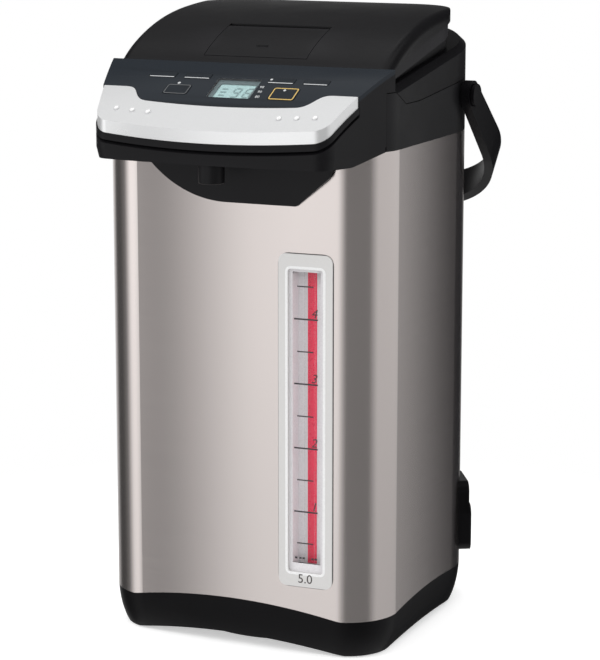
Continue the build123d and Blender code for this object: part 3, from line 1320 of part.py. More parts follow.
# ------------------------------------------------------------------ sight gauge
WINDOW_LEFT = GAUGE_LEFT + GAUGE_BORDER
WINDOW_RIGHT = GAUGE_RIGHT - GAUGE_BORDER
WINDOW_LOW = GAUGE_LOW + GAUGE_END
WINDOW_HIGH = GAUGE_HIGH - GAUGE_END


def gauge_layer(left, right, low, high, corner, outer, inner):
    """A piece of the gauge: a front-view rectangle between two insets of the body."""
    with BuildPart(mode=Mode.PRIVATE) as layer:
        extrude(body_plan(low - 5, outer), amount=high - low + 10)
        extrude(body_plan(low - 6, inner), amount=high - low + 12, mode=Mode.SUBTRACT)
        add(front_prism(left, right, low, high, corner), mode=Mode.INTERSECT)
    return layer.part


with BuildPart() as gauge_frame:
    add(gauge_layer(GAUGE_LEFT, GAUGE_RIGHT, GAUGE_LOW, GAUGE_HIGH, GAUGE_CORNER, -GAUGE_PROUD, -0.02))
    add(
        gauge_layer(
            GAUGE_LEFT + 3.3,
            GAUGE_RIGHT - 3.3,
            GAUGE_LOW + 4.3,
            GAUGE_HIGH - 4.3,
            GAUGE_CORNER - 2.3,
            -GAUGE_PROUD,
            2.2,
        )
    )
    add(front_prism(WINDOW_LEFT, WINDOW_RIGHT, WINDOW_LOW, WINDOW_HIGH, 2), mode=Mode.SUBTRACT)
gauge_frame.part.label = "gauge_frame"
export_step(gauge_frame.part, "parts/gauge_frame.step")

with BuildPart() as gauge_window:
    add(
        gauge_layer(
            WINDOW_LEFT + 0.05,
            WINDOW_RIGHT - 0.05,
            WINDOW_LOW + 0.05,
            WINDOW_HIGH - 0.05,
            1.95,
            -0.5,
            1.0,
        )
    )
gauge_window.part.label = "gauge_window"
export_step(gauge_window.part, "parts/gauge_window.step")

WINDOW_MIDDLE = (WINDOW_LOW + WINDOW_HIGH) / 2
STRIPE_Y = TUBE_Y + TUBE_RADIUS + 0.4
TRAY_FLOOR = STRIPE_Y + STRIPE_THICKNESS
TRAY_HEIGHT = WINDOW_HIGH - WINDOW_LOW - 6
with BuildPart() as gauge_backing:
    add(gauge_layer(WINDOW_LEFT, WINDOW_RIGHT, WINDOW_LOW, WINDOW_HIGH, 2, 1.2, 2.1))
    with BuildPart(mode=Mode.PRIVATE) as tray:
        with Locations((TUBE_X, TRAY_FLOOR + TRAY_WALL, WINDOW_MIDDLE)):
            Box(2 * (TRAY_HALF + TRAY_WALL), 20, TRAY_HEIGHT, align=FROM_BEHIND)
        extrude(body_plan(WINDOW_LOW, 1.2), amount=TRAY_HEIGHT + 10, mode=Mode.INTERSECT)
    add(tray.part)
    with Locations((TUBE_X, TRAY_FLOOR, WINDOW_MIDDLE)):
        Box(2 * TRAY_HALF, 30, TRAY_HEIGHT + 2, align=FROM_BEHIND, mode=Mode.SUBTRACT)
gauge_backing.part.label = "gauge_backing"
export_step(gauge_backing.part, "parts/gauge_backing.step")

with BuildPart() as gauge_stripe:
    with Locations((TUBE_X, TRAY_FLOOR, WINDOW_MIDDLE)):
        Box(STRIPE_WIDTH, STRIPE_THICKNESS, TRAY_HEIGHT - 1, align=FROM_BEHIND)
gauge_stripe.part.label = "gauge_stripe"
export_step(gauge_stripe.part, "parts/gauge_stripe.step")

with BuildPart() as gauge_tube:
    with BuildSketch(Plane.XY.offset(TUBE_LOW)):
        with Locations((TUBE_X, TUBE_Y)):
            Circle(TUBE_RADIUS)
            Circle(TUBE_RADIUS - TUBE_WALL, mode=Mode.SUBTRACT)
    extrude(amount=TUBE_HIGH + 5 - TUBE_LOW)
gauge_tube.part.label = "gauge_tube"
export_step(gauge_tube.part, "parts/gauge_tube.step")

with BuildPart() as tip_valve:
    with BuildSketch(Plane.XY.offset(TUBE_HIGH)):
        with Locations((TUBE_X, VALVE_Y)):
            Circle(VALVE_RADIUS)
    extrude(amount=VALVE_LENGTH)
    with BuildSketch(Plane.XY.offset(TUBE_HIGH - 1)):
        with Locations((TUBE_X, TUBE_Y)):
            Circle(TUBE_RADIUS + RUN)
    extrude(amount=6.2, mode=Mode.SUBTRACT)
    with BuildSketch(Plane.XY.offset(TUBE_HIGH + 4)):
        with Locations((TUBE_X, TUBE_Y)):
            Circle(TUBE_RADIUS - TUBE_WALL)
    extrude(amount=4, mode=Mode.SUBTRACT)
    with BuildSketch(Plane.XY.offset(TUBE_HIGH + 7)):
        with Locations((TUBE_X, VALVE_Y)):
            Circle(VALVE_RADIUS - 1.5)
    extrude(amount=9, mode=Mode.SUBTRACT)
    with BuildSketch(Plane.XY.offset(TUBE_HIGH + 15)):
        with Locations((TUBE_X, VALVE_Y)):
            Circle(PIPE_RADIUS - PIPE_WALL)
    extrude(amount=VALVE_LENGTH, mode=Mode.SUBTRACT)
    with BuildSketch(Plane.XY.offset(PIPE_LOW - 0.1)):
        with Locations((TUBE_X, VALVE_Y)):
            Circle(PIPE_RADIUS + RUN)
    extrude(amount=20, mode=Mode.SUBTRACT)
tip_valve.part.label = "tip_valve"
export_step(tip_valve.part, "parts/tip_valve.step")

# ------------------------------------------------------------------ lid
LID_TOP = [
    (LID_FRONT, 378.3),
    (-61.6, 382.3),
    (-53.0, 387.5),
    (-40.0, 393.5),
    (-21.0, 400.0),
    (5.0, 405.5),
    (28.0, 408.0),
    (50.0, 409.3),
    (LID_REAR, LID_REAR_TOP),
]
RIM_LINE = [
    (LID_FRONT, 375.6),
    (-50.0, 380.6),
    (-35.4, 385.4),
    (-10.5, 390.6),
    (11.7, 395.7),
    (32.7, 400.1),
    (55.0, 403.6),
    (LID_REAR, 405.0),
]


def lid_profile(drop=0.0, low=LID_LOW_FRONT[1] - 9.6):
    """The side view of the lid below its crown lowered by drop."""
    with BuildSketch(Plane.YZ, mode=Mode.PRIVATE) as profile:
        with BuildLine():
            crown = [(y, z - drop) for y, z in LID_TOP]
            Spline(*crown)
            Polyline(crown[-1], (LID_REAR, low), (LID_FRONT, low), crown[0])
        make_face()
    return profile.sketch


def lid_plan(inset=0.0, low=WRAP_TOP - 8.0):
    """The lid's outline drawn in by inset, as an upright block."""
    half = LID_HALF - inset
    with BuildPart(mode=Mode.PRIVATE) as plan:
        with BuildSketch(Plane.XY.offset(low)):
            with BuildLine():
                Polyline(
                    (-half, LID_FRONT + inset),
                    (half, LID_FRONT + inset),
                    (half, LID_REAR - inset),
                    (-half, LID_REAR - inset),
                    close=True,
                )
            make_face()
        extrude(amount=120)
        rear = plan.edges().filter_by(Axis.Z).group_by(Axis.Y)[-1]
        fillet(rear, LID_REAR_CORNER - inset)
    return plan.part


def lid_dome(inset, drop, edge):
    """The solid under the lid's crown with rounded side edges."""
    half = LID_HALF - inset
    with BuildPart(mode=Mode.PRIVATE) as dome:
        extrude(lid_profile(drop), amount=half, both=True)
        upper = dome.edges().filter_by(lambda e: e.center().Z > LID_TOP[0][1])
        sides = upper.filter_by(lambda e: abs(abs(e.center().X) - half) < 0.01)
        crown = sides.filter_by(lambda e: e.length > 100 and e.geom_type != GeomType.LINE)
        fillet(crown, edge)
        add(lid_plan(inset), mode=Mode.INTERSECT)
    return dome.part


def rim_block(lift=0.0):
    """Everything below the rim line raised by lift."""
    line = [(y, z + lift) for y, z in RIM_LINE]
    ends = [(LID_REAR + 20, line[-1][1] + 1.5), (LID_REAR + 20, WRAP_TOP), (LID_FRONT - 20, WRAP_TOP)]
    return side_block([(LID_FRONT - 20, line[0][1] - 4), *line, *ends])


LEVER_ROOM = 0.4
LEVER_SWING = 4.2
LID_SCREWS = [(side * (LID_HALF - 18), y) for y in (-38, 22) for side in (-1, 1)]
with BuildPart() as lid_cover:
    add(lid_dome(0, 0, 7))
    add(rim_block(), mode=Mode.SUBTRACT)
    add(lid_dome(LID_WALL, LID_WALL, 4.6), mode=Mode.SUBTRACT)
    with BuildSketch(Plane.XY.offset(LID_LOW_FRONT[1])):
        with Locations((0, LEVER_FRONT - LEVER_ROOM)):
            Rectangle(
                2 * (LEVER_HALF + LEVER_ROOM),
                LEVER_REAR - LEVER_FRONT + LEVER_ROOM + LEVER_SWING,
                align=(Align.CENTER, Align.MIN),
            )
    extrude(amount=60, mode=Mode.SUBTRACT)
    with BuildPart(mode=Mode.PRIVATE) as bosses:
        for x, y in LID_SCREWS:
            with Locations((x, y, lid_line(y, 4.2))):
                Cylinder(3.6, 40, align=FROM_BELOW)
                Cylinder(1.5, 9, align=FROM_BELOW, mode=Mode.SUBTRACT)
        add(lid_dome(1, 1, 6), mode=Mode.INTERSECT)
    add(bosses.part)
lid_cover.part.label = "lid_cover"
export_step(lid_cover.part, "parts/lid_cover.step")

LINER_INSET = 1.5
PLUG_LOW = MOUTH_HEIGHT + GASKET_THICKNESS + 0.1
PLUG_TOP = LID_LOW_FRONT[1] - 1.6


def plug(shrink, low):
    """The tapered plug under the lid, smaller by shrink, from low upward."""
    top = PLUG_TOP_RADIUS - shrink
    bottom = PLUG_LOW_RADIUS - shrink
    with BuildPart(mode=Mode.PRIVATE) as body:
        with BuildSketch(Plane.XZ):
            with BuildLine():
                ends = [(0, low), (bottom, low), (top, PLUG_TOP), (top, LID_REAR_TOP), (0, LID_REAR_TOP)]
                Polyline(*ends, close=True)
            make_face()
        revolve(axis=Axis.Z)
    return body.part


SLOPE = atan2(LID_SLOPE, 1)
LATCH_PLANE = Plane(
    origin=(0, HEAD_REAR - 1.5, lid_line(HEAD_REAR - 1.5, 2.9)),
    x_dir=(1, 0, 0),
    z_dir=(0, -sin(SLOPE), cos(SLOPE)),
)
LEVER_POST = LEVER_HALF + 2.8

with BuildPart() as lid_liner:
    add(lid_plan(LINER_INSET))
    add(rim_block(), mode=Mode.INTERSECT)
    add(below_line(lid_line, 0), mode=Mode.SUBTRACT)
    front_low = LID_LOW_FRONT[1] - 9.6
    front_high = LID_LOW_FRONT[1] + 6.4
    front_cut = [
        (LID_FRONT + LINER_INSET, front_high),
        LID_LOW_FRONT,
        (LID_LOW_FRONT[0], front_low),
        (LID_FRONT - 13, front_low),
        (LID_FRONT - 13, front_high),
    ]
    add(side_block(front_cut), mode=Mode.SUBTRACT)
    with BuildPart(mode=Mode.PRIVATE) as tray:
        add(lid_plan(LINER_INSET + 2.5))
        add(below_line(lid_line, 2.5), mode=Mode.SUBTRACT)
    add(tray.part, mode=Mode.SUBTRACT)
    with BuildPart(mode=Mode.PRIVATE) as stopper:
        add(plug(0, PLUG_LOW))
        add(below_line(lid_line, 2.5), mode=Mode.INTERSECT)
    add(stopper.part)
    add(plug(2.2, PLUG_LOW + 2.2), mode=Mode.SUBTRACT)
    # hinge arms
    for side in (-1, 1):
        with BuildPart(mode=Mode.PRIVATE) as arm:
            with BuildSketch(Plane.YZ.offset(side * KNUCKLE_X - KNUCKLE_WIDTH / 2)):
                with BuildLine():
                    Polyline(
                        (HINGE_Y - 4.9, HINGE_Z - 2.4),
                        (HINGE_Y + 3, HINGE_Z + 4.5),
                        (LID_REAR - 2, LID_REAR_TOP - 5.2),
                        (LID_REAR - 4, LID_REAR_TOP - 5.2),
                        (LID_REAR - 4, LID_REAR_TOP - 11),
                        (HINGE_Y - 7.5, LID_REAR_TOP - 12),
                        close=True,
                    )
                make_face()
                with Locations((HINGE_Y, HINGE_Z)):
                    Circle(KNUCKLE_RADIUS)
            extrude(amount=KNUCKLE_WIDTH)
        add(arm.part)
    with Locations(Location((0, HINGE_Y, HINGE_Z), (0, 90, 0))):
        Cylinder(HINGE_PIN_RADIUS + RUN, 140, mode=Mode.SUBTRACT)
    # posts for the lever's pin
    for side in (-1, 1):
        with Locations((side * LEVER_POST, LEVER_PIVOT[0], lid_line(LEVER_PIVOT[0], 1))):
            Box(4, 4, LEVER_PIVOT[1] + 1.8 - lid_line(LEVER_PIVOT[0], 1), align=FROM_BELOW)
        with Locations((side * (LEVER_POST + 8.5), LEVER_PIVOT[0], lid_line(LEVER_PIVOT[0], 1))):
            Box(20, 4, 4, align=FROM_BELOW)
    with Locations(Location((0, *LEVER_PIVOT), (0, 90, 0))):
        Cylinder(LEVER_PIN_RADIUS, 2 * LEVER_POST + 5, mode=Mode.SUBTRACT)
    # the latch's way out and the screw holes
    with BuildSketch(LATCH_PLANE.offset(-0.3)):
        with Locations((0, -4)):
            Rectangle(LATCH_WIDTH + 0.6, 16, align=(Align.CENTER, Align.MIN))
    extrude(amount=LATCH_THICKNESS + 0.6, mode=Mode.SUBTRACT)
    for x, y in LID_SCREWS:
        with Locations((x, y, lid_line(y, 2))):
            Cylinder(4, 2.1, align=FROM_BELOW)
            Cylinder(1.7, 12, mode=Mode.SUBTRACT)
lid_liner.part.label = "lid_liner"
export_step(lid_liner.part, "parts/lid_liner.step")

with BuildPart() as lid_screws:
    for x, y in LID_SCREWS:
        head = lid_line(y, -2.1)
        with Locations((x, y, head)):
            Cylinder(3, 1.4, align=FROM_BELOW)
            Cylinder(1.45, 13, align=FROM_BELOW)
lid_screws.part.label = "lid_screws"
export_step(lid_screws.part, "parts/lid_screws.step")

with BuildPart() as lid_gasket:
    with BuildSketch(Plane.XY.offset(MOUTH_HEIGHT + 0.05)):
        Circle(GASKET_RADIUS)
        Circle(PLUG_LOW_RADIUS - 4, mode=Mode.SUBTRACT)
    extrude(amount=GASKET_THICKNESS)
    chamfer(lid_gasket.edges().group_by(Axis.Z)[0].sort_by(SortBy.LENGTH)[-1], 0.8)
lid_gasket.part.label = "lid_gasket"
export_step(lid_gasket.part, "parts/lid_gasket.step")

with BuildPart() as steam_plate:
    with BuildSketch(Plane.XY.offset(PLUG_LOW - 3)):
        Circle(PLUG_LOW_RADIUS - 4.2)
    extrude(amount=3)
    with BuildSketch(Plane.XY.offset(PLUG_LOW - 1.4)):
        Circle(PLUG_LOW_RADIUS - 5.8)
    extrude(amount=1.4, mode=Mode.SUBTRACT)
    with BuildSketch(Plane.XY.offset(PLUG_LOW - 4)):
        with Locations((0, -20)):
            with PolarLocations(8, 6):
                Circle(1.6)
    extrude(amount=4, mode=Mode.SUBTRACT)
steam_plate.part.label = "steam_plate"
export_step(steam_plate.part, "parts/steam_plate.step")

with BuildPart() as lid_lever:
    extrude(lid_profile(0), amount=LEVER_HALF, both=True)
    extrude(lid_profile(3), amount=LEVER_HALF + 1, both=True, mode=Mode.SUBTRACT)
    lip = LID_TOP[1][1]
    lever_room = [
        (LEVER_FRONT, FAR),
        (LEVER_FRONT, lip + 0.1),
        (LEVER_FRONT + 1.5, lip - 4.3),
        (LEVER_REAR, lip - 4.3),
        (LEVER_REAR, FAR),
    ]
    add(side_block(lever_room), mode=Mode.INTERSECT)
    with BuildPart(mode=Mode.PRIVATE) as lugs:
        for side in (-1, 1):
            with BuildSketch(Plane.YZ.offset(side * (LEVER_HALF - 2.5) - 2.5)):
                with Locations(LEVER_PIVOT):
                    Circle(2.8)
                with BuildLine():
                    Polyline(
                        (LEVER_PIVOT[0] - 2.8, LEVER_PIVOT[1]),
                        (LEVER_PIVOT[0] + 1.5, LEVER_PIVOT[1]),
                        (LEVER_PIVOT[0] + 1.5, LEVER_PIVOT[1] + 3.4),
                        (LEVER_PIVOT[0] - 8, LEVER_PIVOT[1] + 1),
                        close=True,
                    )
                make_face()
            extrude(amount=5)
    add(lugs.part)
    with Locations((0, LEVER_FRONT + 11.6, lip - 1.3)):
        Box(8, 3, 8, align=FROM_BELOW)
    with Locations(Location((0, *LEVER_PIVOT), (0, 90, 0))):
        Cylinder(LEVER_PIN_RADIUS + RUN, 2 * LEVER_HALF + 4, mode=Mode.SUBTRACT)
lid_lever.part.label = "lid_lever"
export_step(lid_lever.part, "parts/lid_lever.step")

with BuildPart() as lever_pin:
    with Locations(Location((0, *LEVER_PIVOT), (0, 90, 0))):
        Cylinder(LEVER_PIN_RADIUS, 2 * LEVER_POST + 4)
lever_pin.part.label = "lever_pin"
export_step(lever_pin.part, "parts/lever_pin.step")

with BuildPart() as lid_latch:
    with BuildSketch(LATCH_PLANE):
        Rectangle(LATCH_WIDTH, LATCH_LENGTH, align=(Align.CENTER, Align.MIN))
        with Locations((0, 14)):
            Rectangle(12, 8, align=(Align.CENTER, Align.MIN), mode=Mode.SUBTRACT)
    extrude(amount=LATCH_THICKNESS)
lid_latch.part.label = "lid_latch"
export_step(lid_latch.part, "parts/lid_latch.step")
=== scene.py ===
import math

import bmesh
import bpy
from mathutils import Matrix, Vector


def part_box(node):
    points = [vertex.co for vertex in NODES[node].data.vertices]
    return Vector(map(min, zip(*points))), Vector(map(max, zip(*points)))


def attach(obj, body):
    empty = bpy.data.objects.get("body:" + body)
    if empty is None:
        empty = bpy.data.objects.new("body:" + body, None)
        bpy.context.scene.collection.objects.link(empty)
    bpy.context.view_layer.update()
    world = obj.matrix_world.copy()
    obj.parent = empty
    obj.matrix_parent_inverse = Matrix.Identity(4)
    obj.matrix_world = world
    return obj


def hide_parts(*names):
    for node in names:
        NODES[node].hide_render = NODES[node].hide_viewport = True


bl_info = {
    "name": "Thermo Pot",
    "version": (1, 0, 0),
    "blender": (4, 5, 0),
    "location": "View3D > Sidebar > Thermo Pot",
    "description": "Dresses an electric thermo pot with its finishes, panel, sight gauge and studio",
    "category": "Object",
}

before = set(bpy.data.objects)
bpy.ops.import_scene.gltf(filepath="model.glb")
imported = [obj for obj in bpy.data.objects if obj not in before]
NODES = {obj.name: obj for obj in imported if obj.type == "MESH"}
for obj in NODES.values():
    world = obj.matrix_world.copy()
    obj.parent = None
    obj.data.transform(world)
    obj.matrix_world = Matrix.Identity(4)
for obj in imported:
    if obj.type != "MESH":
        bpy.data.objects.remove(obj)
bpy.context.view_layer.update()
MM = 0.001

# The body's bowed front, and the panel's shallow barrel
BODY_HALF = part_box("outer_wrap")[1].x
BODY_FRONT = -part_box("outer_wrap")[0].y
FRONT_BOW = 4.6 * MM
BOW_RADIUS = (BODY_HALF**2 + FRONT_BOW**2) / (2 * FRONT_BOW)
CREASE = (-67.3 * MM, 378.5 * MM)
NOSE = (-134.4 * MM, 342.0 * MM)
PANEL_CROWN = 3.0 * MM
PANEL_CHORD = math.hypot(CREASE[0] - NOSE[0], CREASE[1] - NOSE[1])
PANEL_RADIUS = (PANEL_CHORD**2 / 4 + PANEL_CROWN**2) / (2 * PANEL_CROWN)
PANEL_AXIS = (
    (CREASE[0] + NOSE[0]) / 2 + (CREASE[1] - NOSE[1]) / PANEL_CHORD * (PANEL_RADIUS - PANEL_CROWN),
    (CREASE[1] + NOSE[1]) / 2 - (CREASE[0] - NOSE[0]) / PANEL_CHORD * (PANEL_RADIUS - PANEL_CROWN),
)


# ---------------------------------------------------------------- where flat art goes
def on_front(x, z, lift):
    """A point on the bowed front of the body, lifted off it."""
    y = -BODY_FRONT + BOW_RADIUS - math.sqrt(BOW_RADIUS**2 - x**2)
    return Vector((x, y - lift, z))


def on_panel(x, y, lift):
    """A point on the control panel, lifted off it along its normal."""
    z = PANEL_AXIS[1] + math.sqrt(PANEL_RADIUS**2 - (y - PANEL_AXIS[0]) ** 2)
    normal = Vector((0, y - PANEL_AXIS[0], z - PANEL_AXIS[1])).normalized()
    return Vector((x, y, z)) + normal * lift


# ---------------------------------------------------------------- mesh helpers
def rounded_outline(cx, cy, width, height, radius, steps=6):
    """The corners of a rounded rectangle, anticlockwise."""
    points = []
    for turn in range(4):
        sx = 1 if turn in (0, 3) else -1
        sy = 1 if turn in (0, 1) else -1
        mx = cx + sx * (width / 2 - radius)
        my = cy + sy * (height / 2 - radius)
        for step in range(steps + 1):
            angle = math.pi / 2 * (turn + step / steps)
            points.append((mx + radius * math.cos(angle), my + radius * math.sin(angle)))
    return points


def disc_outline(cx, cy, radius, steps=24):
    """The corners of a circle, anticlockwise."""
    turns = [math.tau * step / steps for step in range(steps)]
    return [(cx + radius * math.cos(t), cy + radius * math.sin(t)) for t in turns]


def add_plate(bm, outline, place, low, high):
    """A thin closed plate over an outline, laid on a surface between two lifts."""
    top = [bm.verts.new(place(u, v, high)) for u, v in outline]
    bottom = [bm.verts.new(place(u, v, low)) for u, v in outline]
    bm.faces.new(top)
    bm.faces.new(bottom[::-1])
    count = len(outline)
    for i in range(count):
        j = (i + 1) % count
        bm.faces.new((top[j], top[i], bottom[i], bottom[j]))


def add_band(bm, outer, inner, place, low, high):
    """A thin closed band between two outlines with as many corners each."""
    rings = [
        [bm.verts.new(place(u, v, lift)) for u, v in outline]
        for outline, lift in ((outer, high), (inner, high), (inner, low), (outer, low))
    ]
    count = len(outer)
    for k in range(4):
        a, b = rings[k], rings[(k + 1) % 4]
        for i in range(count):
            j = (i + 1) % count
            bm.faces.new((a[i], a[j], b[j], b[i]))


def add_stroke(bm, start, end, width, place, low, high):
    """A straight mark with square ends."""
    a, b = Vector(start), Vector(end)
    side = (b - a).orthogonal().normalized() * (width / 2)
    corners = [a - side, b - side, b + side, a + side]
    if (corners[1] - corners[0]).cross(corners[2] - corners[1]) < 0:
        corners.reverse()
    add_plate(bm, [tuple(c) for c in corners], place, low, high)


def add_number(bm, words, size, slant, cx, cy, place, low, high):
    """A plain number, set in the middle of a place on a surface."""
    curve = bpy.data.curves.new("number", "FONT")
    curve.body = words
    curve.size = size
    curve.shear = slant
    curve.align_x = "CENTER"
    curve.align_y = "CENTER"
    curve.extrude = 0.5
    curve.resolution_u = 4
    holder = bpy.data.objects.new("number", curve)
    bpy.context.scene.collection.objects.link(holder)
    bpy.context.view_layer.update()
    drawn = bpy.data.meshes.new_from_object(holder.evaluated_get(bpy.context.evaluated_depsgraph_get()))
    first = len(bm.verts)
    bm.from_mesh(drawn)
    bm.verts.ensure_lookup_table()
    for vert in bm.verts[first:]:
        vert.co = place(cx + vert.co.x, cy + vert.co.y, high if vert.co.z > 0 else low)
    bpy.data.objects.remove(holder)
    bpy.data.curves.remove(curve)
    bpy.data.meshes.remove(drawn)


def finish_piece(name, bm, body, material, smooth=False):
    """Turns built faces into a named piece that rides on a body."""
    bmesh.ops.recalc_face_normals(bm, faces=bm.faces)
    mesh = bpy.data.meshes.new(name)
    bm.to_mesh(mesh)
    bm.free()
    piece = bpy.data.objects.new(name, mesh)
    bpy.context.scene.collection.objects.link(piece)
    mesh.materials.append(material)
    for face in mesh.polygons:
        face.use_smooth = smooth
    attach(piece, body)
    return piece


def lathe(name, profile, centre, body, material, steps=64, axis="Z"):
    """A round piece turned from an open profile of radius and height pairs."""
    bm = bmesh.new()
    rings = []
    for radius, height in profile:
        ring = []
        for step in range(steps):
            turn = math.tau * step / steps
            across = Vector((radius * math.cos(turn), radius * math.sin(turn), height))
            if axis == "X":
                across = Vector((across.z, across.x, across.y))
            ring.append(bm.verts.new(Vector(centre) + across))
        rings.append(ring)
    count = len(rings)
    for k in range(count):
        a, b = rings[k], rings[(k + 1) % count]
        for i in range(steps):
            j = (i + 1) % steps
            bm.faces.new((a[i], a[j], b[j], b[i]))
    return finish_piece(name, bm, body, material, smooth=True)


def dress(material, *nodes):
    """Gives CAD nodes a finish."""
    for name in nodes:
        part = NODES[name]
        part.data.materials.clear()
        part.data.materials.append(material)


# ---------------------------------------------------------------- finishes
def new_finish(name):
    """A material with its shader, ready for more nodes."""
    material = bpy.data.materials.new(name)
    material.use_nodes = True
    tree = material.node_tree
    shader = tree.nodes["Principled BSDF"]
    return material, tree, shader


def add_node(tree, kind, **settings):
    """A node with its sockets or properties set by name."""
    node = tree.nodes.new(kind)
    for key, value in settings.items():
        if key in node.inputs:
            node.inputs[key].default_value = value
        else:
            setattr(node, key, value)
    return node


def object_noise(tree, scale, stretch=(1, 1, 1), detail=4.0, rough=0.55):
    """Noise in the object's own coordinates, stretched along each axis."""
    coords = add_node(tree, "ShaderNodeTexCoord")
    mapping = add_node(tree, "ShaderNodeMapping")
    mapping.inputs["Scale"].default_value = stretch
    noise = add_node(tree, "ShaderNodeTexNoise", Scale=scale, Detail=detail, Roughness=rough)
    tree.links.new(coords.outputs["Object"], mapping.inputs["Vector"])
    tree.links.new(mapping.outputs["Vector"], noise.inputs["Vector"])
    return noise


def spread(tree, source, low, high, start=0.3, end=0.7):
    """Maps a noise's middle to a range of values."""
    ranged = add_node(tree, "ShaderNodeMapRange")
    ranged.inputs["From Min"].default_value = start
    ranged.inputs["From Max"].default_value = end
    ranged.inputs["To Min"].default_value = low
    ranged.inputs["To Max"].default_value = high
    tree.links.new(source, ranged.inputs["Value"])
    return ranged.outputs["Result"]


def tint(tree, source, dark, light, start=0.3, end=0.7):
    """Two colours mixed by a noise."""
    ramp = add_node(tree, "ShaderNodeValToRGB")
    ramp.color_ramp.elements[0].position = start
    ramp.color_ramp.elements[1].position = end
    ramp.color_ramp.elements[0].color = (*dark, 1)
    ramp.color_ramp.elements[1].color = (*light, 1)
    tree.links.new(source, ramp.inputs["Fac"])
    return ramp.outputs["Color"]


def bump(tree, shader, source, strength, distance):
    """Raises the surface a little by a noise."""
    relief = add_node(tree, "ShaderNodeBump", Strength=strength, Distance=distance)
    tree.links.new(source, relief.inputs["Height"])
    tree.links.new(relief.outputs["Normal"], shader.inputs["Normal"])


def uneven_gloss(tree, shader, source, roughness, less, more):
    """Varies how dull the surface is by a noise."""
    tree.links.new(spread(tree, source, roughness - less, roughness + more), shader.inputs["Roughness"])


def shade(colour, factor):
    """A colour made darker or lighter."""
    return tuple(min(channel * factor, 1.0) for channel in colour[:3])


def moulded_plastic(name, colour, roughness, grain=0.25, coat=0.0, gleam=0.35):
    """Injection-moulded plastic: a fine grain, uneven gloss and paler rubbed edges."""
    material, tree, shader = new_finish(name)
    fine = object_noise(tree, 2600, detail=2)
    broad = object_noise(tree, 26, detail=3)
    edges = add_node(tree, "ShaderNodeNewGeometry")
    rubbed = spread(tree, edges.outputs["Pointiness"], 0.0, 1.0, 0.52, 0.62)
    mixed = add_node(tree, "ShaderNodeMix", data_type="RGBA")
    tree.links.new(rubbed, mixed.inputs["Factor"])
    cloudy = tint(tree, broad.outputs["Fac"], shade(colour, 0.9), shade(colour, 1.1))
    tree.links.new(cloudy, mixed.inputs["A"])
    mixed.inputs["B"].default_value = (*shade(colour, 1.7), 1)
    tree.links.new(mixed.outputs["Result"], shader.inputs["Base Color"])
    uneven_gloss(tree, shader, broad.outputs["Fac"], roughness, 0.04, 0.05)
    shader.inputs["Specular IOR Level"].default_value = gleam
    shader.inputs["Coat Weight"].default_value = coat
    shader.inputs["Coat Roughness"].default_value = 0.12
    bump(tree, shader, fine.outputs["Fac"], grain, 0.00004)
    return material


def brushed_steel(name, colour, roughness, lengthwise=True):
    """Stainless sheet with a fine hairline and a wide sideways glow."""
    material, tree, shader = new_finish(name)
    stretch = (0.006, 0.006, 1) if lengthwise else (1, 1, 1)
    hair = object_noise(tree, 2400, stretch, detail=5, rough=0.7)
    patch = object_noise(tree, 9, (1, 1, 0.3), detail=3)
    base = tint(tree, hair.outputs["Fac"], shade(colour, 0.985), shade(colour, 1.01))
    tree.links.new(base, shader.inputs["Base Color"])
    total = add_node(tree, "ShaderNodeMath", operation="ADD")
    tree.links.new(spread(tree, hair.outputs["Fac"], roughness - 0.015, roughness + 0.015), total.inputs[0])
    tree.links.new(spread(tree, patch.outputs["Fac"], -0.012, 0.012), total.inputs[1])
    tree.links.new(total.outputs["Value"], shader.inputs["Roughness"])
    shader.inputs["Metallic"].default_value = 1.0
    shader.inputs["Anisotropic"].default_value = 0.85 if lengthwise else 0.3
    shader.inputs["Anisotropic Rotation"].default_value = 0.25
    round_axis = add_node(tree, "ShaderNodeTangent", direction_type="RADIAL", axis="Z")
    tree.links.new(round_axis.outputs["Tangent"], shader.inputs["Tangent"])
    bump(tree, shader, hair.outputs["Fac"], 0.03, 0.00001)
    return material


def satin_paint(name, colour, metallic, roughness):
    """Silver paint on plastic, with fine metal flakes under a thin lacquer."""
    material, tree, shader = new_finish(name)
    flakes = object_noise(tree, 5200, detail=1)
    broad = object_noise(tree, 18, detail=2)
    base = tint(tree, flakes.outputs["Fac"], shade(colour, 0.93), shade(colour, 1.04))
    tree.links.new(base, shader.inputs["Base Color"])
    uneven_gloss(tree, shader, broad.outputs["Fac"], roughness, 0.03, 0.03)
    shader.inputs["Metallic"].default_value = metallic
    shader.inputs["Coat Weight"].default_value = 0.25
    shader.inputs["Coat Roughness"].default_value = 0.15
    bump(tree, shader, flakes.outputs["Fac"], 0.05, 0.00002)
    return material


def plain_metal(name, colour, roughness):
    """Turned or cast metal with a slight mottle."""
    material, tree, shader = new_finish(name)
    mottle = object_noise(tree, 420, detail=4)
    base = tint(tree, mottle.outputs["Fac"], shade(colour, 0.85), shade(colour, 1.08))
    tree.links.new(base, shader.inputs["Base Color"])
    uneven_gloss(tree, shader, mottle.outputs["Fac"], roughness, 0.05, 0.08)
    shader.inputs["Metallic"].default_value = 1.0
    bump(tree, shader, mottle.outputs["Fac"], 0.1, 0.00005)
    return material


